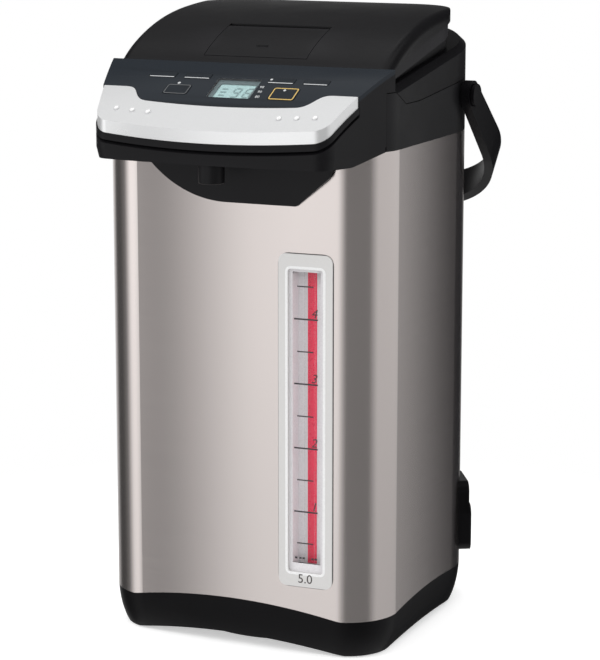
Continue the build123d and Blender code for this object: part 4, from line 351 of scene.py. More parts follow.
def soft_rubber(name, colour, roughness, clear=0.0):
    """Rubber or silicone with a dry, faintly dusty surface."""
    material, tree, shader = new_finish(name)
    dust = object_noise(tree, 160, detail=5)
    base = tint(tree, dust.outputs["Fac"], shade(colour, 0.85), shade(colour, 1.25))
    tree.links.new(base, shader.inputs["Base Color"])
    uneven_gloss(tree, shader, dust.outputs["Fac"], roughness, 0.05, 0.1)
    shader.inputs["Subsurface Weight"].default_value = clear
    shader.inputs["Subsurface Scale"].default_value = 0.002
    bump(tree, shader, dust.outputs["Fac"], 0.15, 0.0001)
    return material


def clear_sheet(name, roughness, haze, rim=None):
    """Clear moulded plastic, too thin to bend what is seen through it, with a denser rim on a tube."""
    material, tree, shader = new_finish(name)
    wipe = object_noise(tree, 60, (1, 1, 0.2), detail=3)
    shader.inputs["Base Color"].default_value = (0.95, 0.96, 0.97, 1)
    shader.inputs["IOR"].default_value = 1.49
    uneven_gloss(tree, shader, wipe.outputs["Fac"], roughness, 0, 0.05)
    shader.inputs["Alpha"].default_value = haze
    if rim:
        facing = add_node(tree, "ShaderNodeLayerWeight", Blend=0.5)
        tree.links.new(spread(tree, facing.outputs["Facing"], haze, rim, 0.55, 1.0), shader.inputs["Alpha"])
    return material


def printed(name, colour, roughness=0.45, glow=0.0):
    """Screen-printed ink with a slightly uneven edge to its gloss; a glow, when given, is painted light that
    the ink gives off itself.
    """
    material, tree, shader = new_finish(name)
    ink = object_noise(tree, 900, detail=3)
    base = tint(tree, ink.outputs["Fac"], shade(colour, 0.93), shade(colour, 1.05))
    tree.links.new(base, shader.inputs["Base Color"])
    uneven_gloss(tree, shader, ink.outputs["Fac"], roughness, 0.05, 0.05)
    # A glow is painted light: the ink shines by itself, though print gives off none.
    if glow:
        shader.inputs["Emission Color"].default_value = (*colour[:3], 1)
        shader.inputs["Emission Strength"].default_value = glow
    return material


def circuit_board(name, colour):
    """A lacquered board with copper tracks under the lacquer."""
    material, tree, shader = new_finish(name)
    coords = add_node(tree, "ShaderNodeTexCoord")
    tracks = add_node(
        tree, "ShaderNodeTexVoronoi", Scale=260, feature="DISTANCE_TO_EDGE", distance="CHEBYCHEV"
    )
    tree.links.new(coords.outputs["Object"], tracks.inputs["Vector"])
    base = tint(tree, tracks.outputs["Distance"], shade(colour, 1.9), colour, 0.02, 0.06)
    tree.links.new(base, shader.inputs["Base Color"])
    shader.inputs["Roughness"].default_value = 0.35
    bump(tree, shader, tracks.outputs["Distance"], 0.1, 0.0001)
    return material


# ---------------------------------------------------------------- what a user may change
class BodySettings(bpy.types.PropertyGroup):
    """Finishes of the body"""

    steel: bpy.props.FloatVectorProperty(
        name="Steel",
        description="Colour of the stainless wrap",
        subtype="COLOR",
        default=(0.715, 0.655, 0.635),
    )
    steel_roughness: bpy.props.FloatProperty(
        name="Steel roughness",
        description="How dull the wrap is",
        default=0.24,
        min=0,
        max=1,
        subtype="FACTOR",
    )
    plastic: bpy.props.FloatVectorProperty(
        name="Plastic",
        description="Colour of the black mouldings",
        subtype="COLOR",
        default=(0.0052, 0.0050, 0.0058),
    )
    base_plastic: bpy.props.FloatVectorProperty(
        name="Base",
        description="Colour of the base moulding",
        subtype="COLOR",
        default=(0.0026, 0.0024, 0.0030),
    )


class PanelSettings(bpy.types.PropertyGroup):
    """Colours and marks of the control panel"""

    gloss: bpy.props.FloatVectorProperty(
        name="Panel",
        description="Colour of the glossy panel",
        subtype="COLOR",
        default=(0.009, 0.0115, 0.015),
    )
    ink: bpy.props.FloatVectorProperty(
        name="Ink", description="Colour of the panel's print", subtype="COLOR", default=(0.55, 0.56, 0.57)
    )
    gold: bpy.props.FloatVectorProperty(
        name="Key frame",
        description="Colour of the line round the lock key",
        subtype="COLOR",
        default=(0.62, 0.42, 0.12),
    )
    display: bpy.props.FloatVectorProperty(
        name="Display",
        description="Colour of the liquid crystal",
        subtype="COLOR",
        default=(0.35, 0.53, 0.53),
    )
    silver: bpy.props.FloatVectorProperty(
        name="Silver", description="Colour of the dispense bar", subtype="COLOR", default=(0.86, 0.865, 0.87)
    )


class GaugeSettings(bpy.types.PropertyGroup):
    """Scale of the sight gauge"""

    zero: bpy.props.FloatProperty(
        name="Zero", description="Height of the empty mark", default=0.0551, unit="LENGTH", subtype="DISTANCE"
    )
    litre: bpy.props.FloatProperty(
        name="Litre", description="Height of one litre", default=0.0418, unit="LENGTH", subtype="DISTANCE"
    )
    litres: bpy.props.IntProperty(
        name="Litres", description="Litres marked on the scale", default=4, min=1, max=8
    )
    stripe: bpy.props.FloatVectorProperty(
        name="Stripe", description="Colour of the level stripe", subtype="COLOR", default=(0.90, 0.008, 0.07)
    )


class StageSettings(bpy.types.PropertyGroup):
    """Camera and studio"""

    azimuth: bpy.props.FloatProperty(
        name="Azimuth",
        description="Camera's turn to the pot's right",
        default=math.radians(24.94),
        subtype="ANGLE",
    )
    pitch: bpy.props.FloatProperty(
        name="Pitch",
        description="How far the camera looks down",
        default=math.radians(11.43),
        subtype="ANGLE",
    )
    distance: bpy.props.FloatProperty(
        name="Distance", description="Camera's distance over the floor", default=1.598, unit="LENGTH"
    )
    height: bpy.props.FloatProperty(
        name="Height", description="Camera's height over the floor", default=0.5165, unit="LENGTH"
    )
    lens: bpy.props.FloatProperty(name="Lens", description="Focal length in millimetres", default=131.7)
    aside: bpy.props.FloatProperty(
        name="Aside",
        description="How far the camera turns to the right of the pot's axis",
        default=math.radians(0.1),
        subtype="ANGLE",
    )


# ---------------------------------------------------------------- pieces
class THERMOPOT_OT_steel(bpy.types.Operator):
    """Finish the stainless wrap and the vessels"""

    bl_idname = "thermopot.steel"
    bl_label = "Steel Wrap and Vessels"

    def execute(self, context):
        settings = context.scene.thermopot_body
        wrap = brushed_steel("stainless_hairline", settings.steel, settings.steel_roughness)
        vessel = brushed_steel("stainless_drawn", (0.62, 0.61, 0.60), 0.24, lengthwise=False)
        dress(wrap, "outer_wrap")
        dress(vessel, "inner_pot", "vacuum_shell", "steam_plate")
        return {"FINISHED"}


class THERMOPOT_OT_mouldings(bpy.types.Operator):
    """Finish the black mouldings of the shoulder, head, lid, handle and base"""

    bl_idname = "thermopot.mouldings"
    bl_label = "Black Mouldings"

    def execute(self, context):
        settings = context.scene.thermopot_body
        satin = moulded_plastic("satin_black", settings.plastic, 0.42, gleam=0.18)
        lid = moulded_plastic("lid_black", shade(settings.plastic, 1.2), 0.36, grain=0.18, gleam=0.24)
        base = moulded_plastic("base_black", settings.base_plastic, 0.38, gleam=0.12)
        handle = moulded_plastic("handle_black", settings.base_plastic, 0.36, gleam=0.12)
        inner = moulded_plastic("inner_black", shade(settings.plastic, 2.2), 0.5)
        # The chin cowl's black also covers the wider dark shape on the right under the head, which is partly
        # the head's shadow on the steel: there the black is partly painted shadow.
        dress(
            satin, "shoulder_ring", "upper_frame", "beak_housing", "chin_cowl", "spout_nozzle", "bar_carrier"
        )
        dress(lid, "lid_cover", "lid_lever")
        dress(inner, "lid_liner", "dispense_switch")
        dress(base, "base_housing", "bottom_plate", "swivel_disc", "power_inlet")
        dress(handle, "bail_handle", "bail_pivots")
        return {"FINISHED"}


class THERMOPOT_OT_panel(bpy.types.Operator):
    """Finish the control panel and its keys, and print its lines, key frames, dots and numbers"""

    bl_idname = "thermopot.panel"
    bl_label = "Control Panel"

    # Framed keys: middle across and from front to back, and size, in millimetres
    KEYS = {
        "unlock_key": (38.6, -100.7, 16.8, 11.2),
        "reboil_key": (-35.6, -100.7, 15.8, 8.6),
    }
    # Keys with a line under them: middle and length
    LINES = [
        ("timer_key", -52.8, -88.3, 17.4),
        ("keep_warm_key", -28.0, -88.3, 17.4),
        ("temperature_key", 31.3, -89.9, 17.0),
        ("brew_key", 55.2, -89.9, 16.0),
    ]
    DOTS = (("unlock_key", 37.8, -97.3), ("temperature_key", 23.7, -86.6))
    NUMBERS = (("98", 20.9, -94.9), ("90", 21.6, -99.6), ("80", 22.2, -104.4))
    LIFT = 0.2 * MM  # of a key's top over the panel
    INK = 0.14 * MM
    LINE_DEPTH = 0.7 * MM
    FRAME_CORNER = 1.3

    def print_line(self, name, x, y, width, ink):
        bm = bmesh.new()
        outline = rounded_outline(x * MM, y * MM, width * MM, self.LINE_DEPTH, 0.3 * MM)
        add_plate(bm, outline, on_panel, self.LIFT, self.LIFT + self.INK)
        finish_piece(name + "_line", bm, name, ink)

    def print_frame(self, name, x, y, width, depth, line, ink):
        bm = bmesh.new()
        inner_width, inner_depth = width - 2 * line, depth - 2 * line
        corner = self.FRAME_CORNER
        outer = rounded_outline(x * MM, y * MM, width * MM, depth * MM, corner * MM)
        inner = rounded_outline(x * MM, y * MM, inner_width * MM, inner_depth * MM, (corner - line) * MM)
        add_band(bm, outer, inner, on_panel, self.LIFT, self.LIFT + self.INK)
        finish_piece(name + "_frame", bm, name, ink)

    def execute(self, context):
        settings = context.scene.thermopot_panel
        gloss = moulded_plastic("panel_gloss", settings.gloss, 0.2, grain=0.04, coat=0.03, gleam=0.14)
        satin = shade(settings.gloss, 1.15)
        keys = moulded_plastic("key_satin", satin, 0.3, grain=0.08, coat=0.03, gleam=0.14)
        ink = printed("panel_ink", settings.ink)
        gold = printed("gold_ink", settings.gold, 0.35)
        dress(gloss, "control_panel")
        dress(keys, "unlock_key", "reboil_key", "timer_key", "keep_warm_key", "temperature_key", "brew_key")
        for name, x, y, width in self.LINES:
            self.print_line(name, x, y, width, ink)
        x, y, width, depth = self.KEYS["unlock_key"]
        self.print_frame("unlock_key", x, y, width, depth, 0.75, gold)
        x, y, width, depth = self.KEYS["reboil_key"]
        grey = printed("grey_ink", shade(settings.ink, 0.35))
        self.print_frame("reboil_key", x, y, width, depth, 0.3, grey)
        bm = bmesh.new()
        add_plate(bm, disc_outline(-37.4 * MM, -94.3 * MM, 1.0 * MM), on_panel, 0, self.INK)
        finish_piece("reboil_dot", bm, "pot", ink)
        for name, x, y in self.DOTS:
            bm = bmesh.new()
            outline = disc_outline(x * MM, y * MM, 0.9 * MM)
            add_plate(bm, outline, on_panel, self.LIFT, self.LIFT + self.INK)
            finish_piece(name + "_dot", bm, name, ink)
        bm = bmesh.new()
        for number, x, y in self.NUMBERS:
            add_number(bm, number, 3.0 * MM, 0, x * MM, y * MM, on_panel, 0, self.INK)
        finish_piece("temperature_numbers", bm, "pot", ink)
        return {"FINISHED"}


class THERMOPOT_OT_display(bpy.types.Operator):
    """Finish the liquid crystal display"""

    bl_idname = "thermopot.display"
    bl_label = "Display"

    SEGMENTS = {"9": "abcdfg", "8": "abcdefg"}
    DIGITS = "98"
    DIGIT_PITCH = 8.2
    PRINT = (-1.9 * MM, -1.8 * MM)  # the digits' lower and upper face, under the window
    DASHES = ((-6.6, -2.6), -95.5, 3.2)  # ends across, first one's place, and step towards the front

    def segments(self, bm, digit, cx, cy, width, height, stroke):
        """Draws one seven-segment digit."""
        half_w, half_h = width / 2, height / 2
        slant = 0.12
        ends = {
            "a": ((-half_w, half_h), (half_w, half_h)),
            "b": ((half_w, half_h), (half_w, 0)),
            "c": ((half_w, 0), (half_w, -half_h)),
            "d": ((-half_w, -half_h), (half_w, -half_h)),
            "e": ((-half_w, -half_h), (-half_w, 0)),
            "f": ((-half_w, 0), (-half_w, half_h)),
            "g": ((-half_w, 0), (half_w, 0)),
        }
        for key in self.SEGMENTS[digit]:
            a, b = (Vector((x + slant * y, y)) for x, y in ends[key])
            step = (b - a).normalized() * stroke * 0.6
            start, end = a + step + Vector((cx, cy)), b - step + Vector((cx, cy))
            add_stroke(bm, start, end, stroke, on_panel, *self.PRINT)

    def execute(self, context):
        settings = context.scene.thermopot_panel
        crystal = printed("liquid_crystal", settings.display, 0.3)
        bezel = moulded_plastic("display_bezel", (0.05, 0.075, 0.08), 0.3, grain=0.05, gleam=0.2)
        dress(crystal, "lcd_module")
        dress(clear_sheet("display_window", 0.08, 0.03), "lcd_window")
        bm = bmesh.new()
        outer = rounded_outline(2.4 * MM, -96.8 * MM, 29.8 * MM, 19.6 * MM, 1.2 * MM)
        inner = rounded_outline(2.9 * MM, -98.1 * MM, 24.8 * MM, 14.6 * MM, 0.8 * MM)
        add_band(bm, outer, inner, on_panel, -1.7 * MM, -1.5 * MM)
        finish_piece("display_bezel", bm, "pot", bezel)
        bm = bmesh.new()
        for index, digit in enumerate(self.DIGITS):
            across = (4.4 + self.DIGIT_PITCH * index) * MM
            self.segments(bm, digit, across, -98.9 * MM, 4.4 * MM, 8.6 * MM, 0.8 * MM)
        (left, right), first, pitch = self.DASHES
        for step in range(3):
            y = (first - pitch * step) * MM
            add_stroke(bm, (left * MM, y), (right * MM, y), 0.7 * MM, on_panel, *self.PRINT)
        finish_piece("display_digits", bm, "pot", printed("display_ink", (0.21, 0.33, 0.335)))
        return {"FINISHED"}


class THERMOPOT_OT_bar(bpy.types.Operator):
    """Finish the silver dispense bar"""

    bl_idname = "thermopot.bar"
    bl_label = "Dispense Bar"

    BEADS = [(45.3, -121.8), (56.9, -121.0), (68.7, -120.0)]
    BEAD_PROFILE = [(1.75, 0.3), (1.7, 0.55), (1.4, 0.85), (0.85, 1.05)]

    def bead(self, bm, x, y):
        """A low dome that a fingertip finds on the bar."""
        rings = []
        for radius, lift in self.BEAD_PROFILE:
            outline = disc_outline(0, 0, radius * MM)
            rings.append([bm.verts.new(on_panel(x + u, y + 0.88 * v, lift * MM)) for u, v in outline])
        count = len(rings[0])
        for low, high in zip(rings, rings[1:]):
            for i in range(count):
                j = (i + 1) % count
                bm.faces.new((low[i], low[j], high[j], high[i]))
        bm.faces.new(rings[-1])
        bm.faces.new(rings[0][::-1])

    def execute(self, context):
        silver = satin_paint("satin_silver", context.scene.thermopot_panel.silver, 0.55, 0.3)
        dress(silver, "dispense_bar")
        bm = bmesh.new()
        for side in (-1, 1):
            for x, y in self.BEADS:
                self.bead(bm, side * x * MM, y * MM)
        # The beads get a paler, less metallic silver than the bar: a painted highlight on the small domes.
        pale = satin_paint("bead_painted_highlight", (0.95, 0.95, 0.95), 0.1, 0.22)
        finish_piece("bar_beads", bm, "bar", pale, smooth=True)
        return {"FINISHED"}


class THERMOPOT_OT_gauge(bpy.types.Operator):
    """Build the sight gauge's scale and finish its window, tube and stripe"""

    bl_idname = "thermopot.gauge"
    bl_label = "Sight Gauge"

    # Ends and thickness of the litre and half-litre marks
    MAJOR = (43.9, 60.0, 1.0)
    MINOR = (46.0, 57.0, 0.8)
    REFILL = (44.5, 47.4, 49.6, 55.6, 58.0)  # where the refill mark's dashes start
    REFILL_DASH = 1.7
    REFILL_RISE = 11.0 * MM

    def execute(self, context):
        settings = context.scene.thermopot_gauge
        ink = printed("scale_ink", (0.04, 0.035, 0.04))
        pale = printed("window_line", (0.93, 0.93, 0.93), 0.4)
        frame_grey = satin_paint("gauge_frame_grey", (0.74, 0.73, 0.72), 0.2, 0.38)
        backing = printed("backing_grey", (0.84, 0.82, 0.84), 0.4)
        dress(frame_grey, "gauge_frame")
        dress(backing, "gauge_backing")
        # The level stripe is given a faint glow of its own: painted light.
        dress(printed("stripe_red", settings.stripe, 0.3, 0.05), "gauge_stripe")
        dress(clear_sheet("gauge_window_clear", 0.05, 0.012), "gauge_window")
        low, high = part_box("gauge_tube")
        radius = (high.x - low.x) / 2
        skin = [(0.0001, low.z), (radius - 0.3 * MM, low.z), (radius, low.z + 0.3 * MM)]
        skin += [(radius, high.z - 0.3 * MM), (radius - 0.3 * MM, high.z), (0.0001, high.z)]
        centre = ((low.x + high.x) / 2, (low.y + high.y) / 2, 0)
        clear = clear_sheet("gauge_tube_clear", 0.04, 0.01, 0.5)
        tube = lathe("gauge_tube_filled", skin, centre, "pot", clear)
        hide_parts("gauge_tube")
        low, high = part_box("gauge_window")
        middle_x, middle_z = (low.x + high.x) / 2, (low.z + high.z) / 2
        bm = bmesh.new()
        width, height = high.x - low.x, high.z - low.z
        outer = rounded_outline(middle_x, middle_z, width + 3.6 * MM, height + 3.6 * MM, 3.7 * MM)
        inner = rounded_outline(middle_x, middle_z, width + 0.2 * MM, height + 0.2 * MM, 2.0 * MM)
        add_band(bm, outer, inner, on_front, 0.9 * MM, 1.0 * MM)
        finish_piece("gauge_outline", bm, "pot", pale)
        # A thin dark band on the steel round the gauge frame: painted shadow in the gap between the frame and
        # the wrap.
        edge_low, edge_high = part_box("gauge_frame")
        edge_x, edge_z = (edge_low.x + edge_high.x) / 2, (edge_low.z + edge_high.z) / 2
        width, height = edge_high.x - edge_low.x, edge_high.z - edge_low.z
        bm = bmesh.new()
        outer = rounded_outline(edge_x, edge_z, width + 1.1 * MM, height + 1.1 * MM, 7.1 * MM)
        inner = rounded_outline(edge_x, edge_z, width - 0.2 * MM, height - 0.2 * MM, 6.4 * MM)
        add_band(bm, outer, inner, on_front, 0.02 * MM, 0.12 * MM)
        finish_piece("gauge_painted_gap_shadow", bm, "pot", printed("painted_gap_shadow", (0.1, 0.095, 0.09)))
        bm = bmesh.new()
        sill = rounded_outline(middle_x, low.z + 2.8 * MM, high.x - low.x - 0.6 * MM, 5.4 * MM, 0.4 * MM)
        add_plate(bm, sill, on_front, -1.4 * MM, -1.25 * MM)
        finish_piece("gauge_sill", bm, "pot", backing)
        bm = bmesh.new()
        lift = 0.55 * MM
        top = lift + 0.06 * MM
        for step in range(1, 2 * settings.litres + 2):
            z = settings.zero + settings.litre * step / 2
            whole = step % 2 == 0
            left, right, thick = self.MAJOR if whole else self.MINOR
            add_stroke(bm, (left * MM, z), (right * MM, z), thick * MM, on_front, lift, top)
            if whole:
                add_number(bm, str(step // 2), 8.2 * MM, 0.25, 57.4 * MM, z + 3.6 * MM, on_front, lift, top)
        z = settings.zero + self.REFILL_RISE
        for x in self.REFILL:
            end = ((x + self.REFILL_DASH) * MM, z)
            add_stroke(bm, (x * MM, z), end, 1.3 * MM, on_front, lift, top)
        finish_piece("gauge_scale", bm, "pot", ink)
        bm = bmesh.new()
        add_number(bm, "5.0", 8.4 * MM, 0, middle_x, edge_low.z + 5.2 * MM, on_front, 0.9 * MM, 0.98 * MM)
        finish_piece("gauge_capacity", bm, "pot", printed("capacity_ink", (0.06, 0.05, 0.05)))
        return {"FINISHED"}


class THERMOPOT_OT_works(bpy.types.Operator):
    """Finish the heater, pump, boards, hoses and fasteners"""

    bl_idname = "thermopot.works"
    bl_label = "Inner Works"

    def execute(self, context):
        bright = plain_metal("bright_steel", (0.6, 0.6, 0.61), 0.3)
        cast = plain_metal("cast_alloy", (0.48, 0.48, 0.47), 0.5)
        silicone = soft_rubber("silicone", (0.55, 0.54, 0.5), 0.45, clear=0.2)
        nylon = moulded_plastic("white_nylon", (0.7, 0.7, 0.67), 0.45)
        dress(cast, "heater_plate", "motor_case")
        dress(bright, "temperature_sensor", "thermal_cutout", "motor_rotor", "inlet_pins", "swivel_clip")
        dress(bright, "bottom_screws", "lid_screws", "hinge_pins", "lever_pin", "lid_latch")
        dress(silicone, "neck_seal", "lid_gasket", "pump_inlet_hose", "outlet_hose", "spout_pipe")
        dress(nylon, "pump_housing", "impeller", "tip_valve")
        dress(circuit_board("board_green", (0.02, 0.11, 0.045)), "main_board", "control_board")
        dress(soft_rubber("foot_rubber", (0.02, 0.02, 0.02), 0.7), "swivel_pad")
        return {"FINISHED"}


class THERMOPOT_OT_stage(bpy.types.Operator):
    """Set the floor, the lights, the world and the camera"""

    bl_idname = "thermopot.stage"
    bl_label = "Stage"

    # Soft boxes and a dark card on the studio's round wall: the turn of each one's left and right edge
    # from the pot's front towards its right, how far those edges fade, in degrees, and its brightness
    WALL_PIECES = (
        (-150, -127, 25, 20, 0.85),  # soft box behind on the left
        (-105, -85, 2, 15, 0.1),  # dark card
        (-55, -42, 14, 6, 1.4),  # strip on the left
        (-22, 4, 12, 16, 1.25),  # soft box in front
        (84, 148, 18, 3, 0.75),  # soft box behind on the right
        (152, 179, 1, 1, 0.5),  # pale card behind
    )
    WALL_TONE = 0.25  # the plain wall between them
    WALL_STEPS = 96
    SKY = 0.7  # the world's light on everything that isn't glossy
    CEILING = 0.6
    FLOOR_LIFT = 0.5  # lifts the floor to white where it is seen, and keeps the pot's shadow on it
    WALL_CREST = 0.15  # the wall's strength above the pot, against that beside it
    WALL_RADIUS = 1.0
    WALL_TOP = 1.5
    WALL_FOOT = -0.9
    FLAG_TURN = math.radians(67)
    FLAG_AWAY = 0.32
    FLAG_SPAN = (-0.06, 0.12)
    FLAG_FADE = 0.045

    def floor(self):
        bm = bmesh.new()
        bmesh.ops.create_circle(bm, cap_ends=True, segments=96, radius=2.4)
        mesh = bpy.data.meshes.new("floor")
        bm.to_mesh(mesh)
        bm.free()
        floor = bpy.data.objects.new("floor", mesh)
        bpy.context.scene.collection.objects.link(floor)
        material, tree, shader = new_finish("floor_white")
        speckle = object_noise(tree, 40, detail=2)
        base = tint(tree, speckle.outputs["Fac"], (0.90, 0.90, 0.90), (0.92, 0.92, 0.92))
        tree.links.new(base, shader.inputs["Base Color"])
        shader.inputs["Roughness"].default_value = 0.9
        coords = add_node(tree, "ShaderNodeTexCoord")
        far = add_node(tree, "ShaderNodeVectorMath", operation="LENGTH")
        tree.links.new(coords.outputs["Object"], far.inputs[0])
        tree.links.new(spread(tree, far.outputs["Value"], 1.0, 0.0, 0.12, 0.42), shader.inputs["Alpha"])
        path = add_node(tree, "ShaderNodeLightPath")
        seen = add_node(tree, "ShaderNodeMath", operation="MULTIPLY")
        tree.links.new(path.outputs["Is Camera Ray"], seen.inputs[0])
        seen.inputs[1].default_value = self.FLOOR_LIFT
        tree.links.new(seen.outputs["Value"], shader.inputs["Emission Strength"])
        shader.inputs["Emission Color"].default_value = (1, 1, 1, 1)
        mesh.materials.append(material)
        floor.visible_glossy = False

    def lamp(self, name, place, aim, size, watts):
        data = bpy.data.lights.new(name, "AREA")
        data.shape = "RECTANGLE"
        data.size, data.size_y = size
        data.energy = watts
        lamp = bpy.data.objects.new(name, data)
        lamp.location = place
        lamp.rotation_mode = "QUATERNION"
        lamp.rotation_quaternion = (Vector(aim) - Vector(place)).to_track_quat("-Z", "Y")
        lamp.visible_glossy = False
        bpy.context.scene.collection.objects.link(lamp)

    def wall(self):
        """A round wall of soft boxes and dark cards, which only the pot sees."""
        bm = bmesh.new()
        low, high = [], []
        for step in range(self.WALL_STEPS):
            turn = math.tau * step / self.WALL_STEPS
            x, y = self.WALL_RADIUS * math.sin(turn), -self.WALL_RADIUS * math.cos(turn)
            low.append(bm.verts.new((x, y, self.WALL_FOOT)))
            high.append(bm.verts.new((x, y, self.WALL_TOP)))
        for i in range(self.WALL_STEPS):
            bm.faces.new((low[i], low[i - 1], high[i - 1], high[i]))
        ceiling = bm.faces.new(high)
        ceiling.material_index = 1
        mesh = bpy.data.meshes.new("studio_wall")
        bm.to_mesh(mesh)
        bm.free()
        wall = bpy.data.objects.new("studio_wall", mesh)
        bpy.context.scene.collection.objects.link(wall)
        self.only_in_reflections(wall)
        material = bpy.data.materials.new("studio_wall")
        material.use_nodes = True
        material.cycles.emission_sampling = "NONE"
        tree = material.node_tree
        tree.nodes.clear()
        output = add_node(tree, "ShaderNodeOutputMaterial")
        glow = add_node(tree, "ShaderNodeEmission")
        tree.links.new(glow.outputs["Emission"], output.inputs["Surface"])
        coords = add_node(tree, "ShaderNodeTexCoord")
        split = add_node(tree, "ShaderNodeSeparateXYZ")
        tree.links.new(coords.outputs["Object"], split.inputs["Vector"])
        forward = add_node(tree, "ShaderNodeMath", operation="MULTIPLY")
        tree.links.new(split.outputs["Y"], forward.inputs[0])
        forward.inputs[1].default_value = -1
        turn = add_node(tree, "ShaderNodeMath", operation="ARCTAN2")
        tree.links.new(split.outputs["X"], turn.inputs[0])
        tree.links.new(forward.outputs["Value"], turn.inputs[1])
        ramp = add_node(tree, "ShaderNodeValToRGB")
        tree.links.new(spread(tree, turn.outputs["Value"], 0.0, 1.0, -math.pi, math.pi), ramp.inputs["Fac"])
        stops = ramp.color_ramp.elements
        stops.remove(stops[1])
        stops[0].color = (*[self.WALL_TONE] * 3, 1)
        for left, right, fade_left, fade_right, level in self.WALL_PIECES:
            turns = (left - fade_left, left, right, right + fade_right)
            for degrees, tone in zip(turns, (self.WALL_TONE, level, level, self.WALL_TONE)):
                stops.new((degrees + 180) / 360).color = (tone, tone, tone, 1)
        tree.links.new(ramp.outputs["Color"], glow.inputs["Color"])
        level = add_node(tree, "ShaderNodeMath", operation="MULTIPLY")
        tree.links.new(spread(tree, split.outputs["Z"], 0.66, 1.0, -0.3, 0.25), level.inputs[0])
        tree.links.new(spread(tree, split.outputs["Z"], 1.0, self.WALL_CREST, 0.4, 0.6), level.inputs[1])
        tree.links.new(level.outputs["Value"], glow.inputs["Strength"])
        mesh.materials.append(material)
        above, tree, shader = new_finish("studio_ceiling")
        shader.inputs["Base Color"].default_value = (0, 0, 0, 1)
        shader.inputs["Specular IOR Level"].default_value = 0
        shader.inputs["Emission Color"].default_value = (*[self.CEILING] * 3, 1)
        shader.inputs["Emission Strength"].default_value = 1
        above.cycles.emission_sampling = "NONE"
        mesh.materials.append(above)

    def flag(self):
        """A dark card close behind the pot on its right, which fades out towards the front."""
        bm = bmesh.new()
        inner, outer = self.FLAG_SPAN
        foot, top = self.WALL_FOOT, self.WALL_TOP
        corners = ((inner, foot), (outer, foot), (outer, top), (inner, top))
        bm.faces.new([bm.verts.new((across, 0, z)) for across, z in corners])
        mesh = bpy.data.meshes.new("dark_card")
        bm.to_mesh(mesh)
        bm.free()
        card = bpy.data.objects.new("dark_card", mesh)
        bpy.context.scene.collection.objects.link(card)
        card.location = Matrix.Rotation(self.FLAG_TURN, 3, "Z") @ Vector((self.FLAG_AWAY, 0, 0))
        card.rotation_euler = (0, 0, self.FLAG_TURN - math.pi / 2)
        self.only_in_reflections(card)
        material, tree, shader = new_finish("dark_card")
        shader.inputs["Base Color"].default_value = (0.03, 0.03, 0.033, 1)
        shader.inputs["Roughness"].default_value = 1.0
        coords = add_node(tree, "ShaderNodeTexCoord")
        split = add_node(tree, "ShaderNodeSeparateXYZ")
        tree.links.new(coords.outputs["Object"], split.inputs["Vector"])
        fade = spread(tree, split.outputs["X"], 1.0, 0.0, outer - self.FLAG_FADE, outer)
        tree.links.new(fade, shader.inputs["Alpha"])
        mesh.materials.append(material)

    def only_in_reflections(self, thing):
        """Keeps a studio piece out of sight and out of the light, except as metal and gloss see it."""
        thing.visible_camera = False
        thing.visible_diffuse = False
        thing.visible_shadow = False
        thing.visible_transmission = False

    def world(self, scene):
        """A plain world that is white where it is seen, also in metal and through glass."""
        world = bpy.data.worlds.new("studio")
        scene.world = world
        world.use_nodes = True
        world.cycles.sampling_method = "NONE"
        tree = world.node_tree
        path = add_node(tree, "ShaderNodeLightPath")
        first = add_node(tree, "ShaderNodeMath", operation="MAXIMUM")
        tree.links.new(path.outputs["Is Camera Ray"], first.inputs[0])
        tree.links.new(path.outputs["Is Glossy Ray"], first.inputs[1])
        seen = add_node(tree, "ShaderNodeMath", operation="MAXIMUM")
        tree.links.new(first.outputs["Value"], seen.inputs[0])
        tree.links.new(path.outputs["Is Transmission Ray"], seen.inputs[1])
        white = add_node(tree, "ShaderNodeMix", data_type="RGBA")
        tree.links.new(seen.outputs["Value"], white.inputs["Factor"])
        white.inputs["A"].default_value = (*[self.SKY] * 3, 1)
        white.inputs["B"].default_value = (1, 1, 1, 1)
        tree.links.new(white.outputs["Result"], tree.nodes["Background"].inputs["Color"])

    def camera(self, scene, settings):
        data = bpy.data.cameras.new("camera")
        data.lens = settings.lens
        data.sensor_width = 36
        camera = bpy.data.objects.new("camera", data)
        turn, pitch = settings.azimuth, settings.pitch
        away = settings.distance
        camera.location = (away * math.sin(turn), -away * math.cos(turn), settings.height)
        heading = turn - settings.aside
        level = math.cos(pitch)
        aim = Vector((-math.sin(heading) * level, math.cos(heading) * level, -math.sin(pitch)))
        camera.rotation_mode = "QUATERNION"
        camera.rotation_quaternion = aim.to_track_quat("-Z", "Y")
        data.clip_start, data.clip_end = 0.05, 50
        scene.collection.objects.link(camera)
        scene.camera = camera

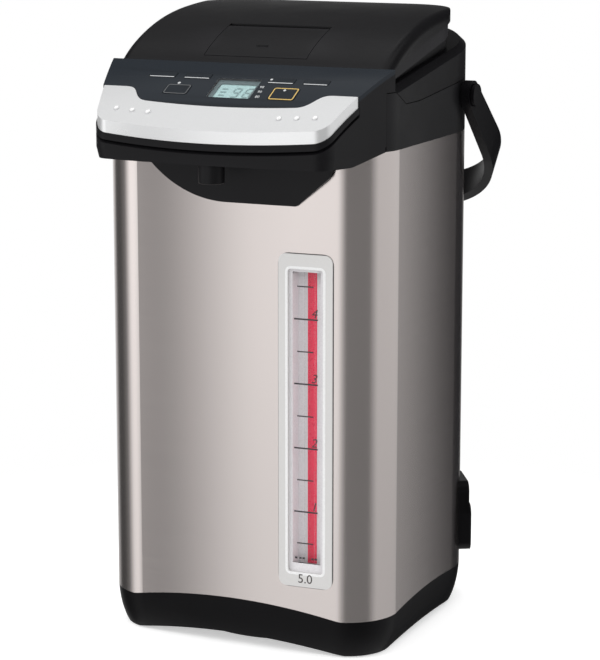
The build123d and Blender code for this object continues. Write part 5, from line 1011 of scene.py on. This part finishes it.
    def execute(self, context):
        scene = context.scene
        self.floor()
        self.lamp("key", (-1.5, -1.6, 1.7), (0, 0, 0.25), (1.4, 1.4), 22)
        self.lamp("fill", (1.8, -1.2, 0.9), (0, 0, 0.2), (1.2, 1.6), 6)
        self.lamp("top", (0, 0.3, 2.0), (0, 0, 0.2), (1.6, 1.6), 13)
        self.wall()
        self.flag()
        self.world(scene)
        self.camera(scene, scene.thermopot_stage)
        scene.view_settings.view_transform = "Standard"
        return {"FINISHED"}


class THERMOPOT_PT_sidebar(bpy.types.Panel):
    """Lists the pot's pieces and their settings"""

    bl_label = "Thermo Pot"
    bl_space_type = "VIEW_3D"
    bl_region_type = "UI"
    bl_category = "Thermo Pot"

    def draw(self, context):
        layout = self.layout
        for name in SETTINGS:
            box = layout.box()
            group = getattr(context.scene, name)
            for key in group.__annotations__:
                box.prop(group, key)
        for operator in OPERATORS:
            layout.operator(operator.bl_idname)


SETTINGS = {
    "thermopot_body": BodySettings,
    "thermopot_panel": PanelSettings,
    "thermopot_gauge": GaugeSettings,
    "thermopot_stage": StageSettings,
}
OPERATORS = (
    THERMOPOT_OT_steel,
    THERMOPOT_OT_mouldings,
    THERMOPOT_OT_panel,
    THERMOPOT_OT_display,
    THERMOPOT_OT_bar,
    THERMOPOT_OT_gauge,
    THERMOPOT_OT_works,
    THERMOPOT_OT_stage,
)


def register():
    for name, group in SETTINGS.items():
        bpy.utils.register_class(group)
        setattr(bpy.types.Scene, name, bpy.props.PointerProperty(type=group))
    for operator in OPERATORS:
        bpy.utils.register_class(operator)
    bpy.utils.register_class(THERMOPOT_PT_sidebar)


def unregister():
    bpy.utils.unregister_class(THERMOPOT_PT_sidebar)
    for operator in reversed(OPERATORS):
        bpy.utils.unregister_class(operator)
    for name, group in SETTINGS.items():
        delattr(bpy.types.Scene, name)
        bpy.utils.unregister_class(group)


def main():
    register()
    bpy.ops.thermopot.steel()
    bpy.ops.thermopot.mouldings()
    bpy.ops.thermopot.panel()
    bpy.ops.thermopot.display()
    bpy.ops.thermopot.bar()
    bpy.ops.thermopot.gauge()
    bpy.ops.thermopot.works()
    bpy.ops.thermopot.stage()


if __name__ == "__main__":
    main()
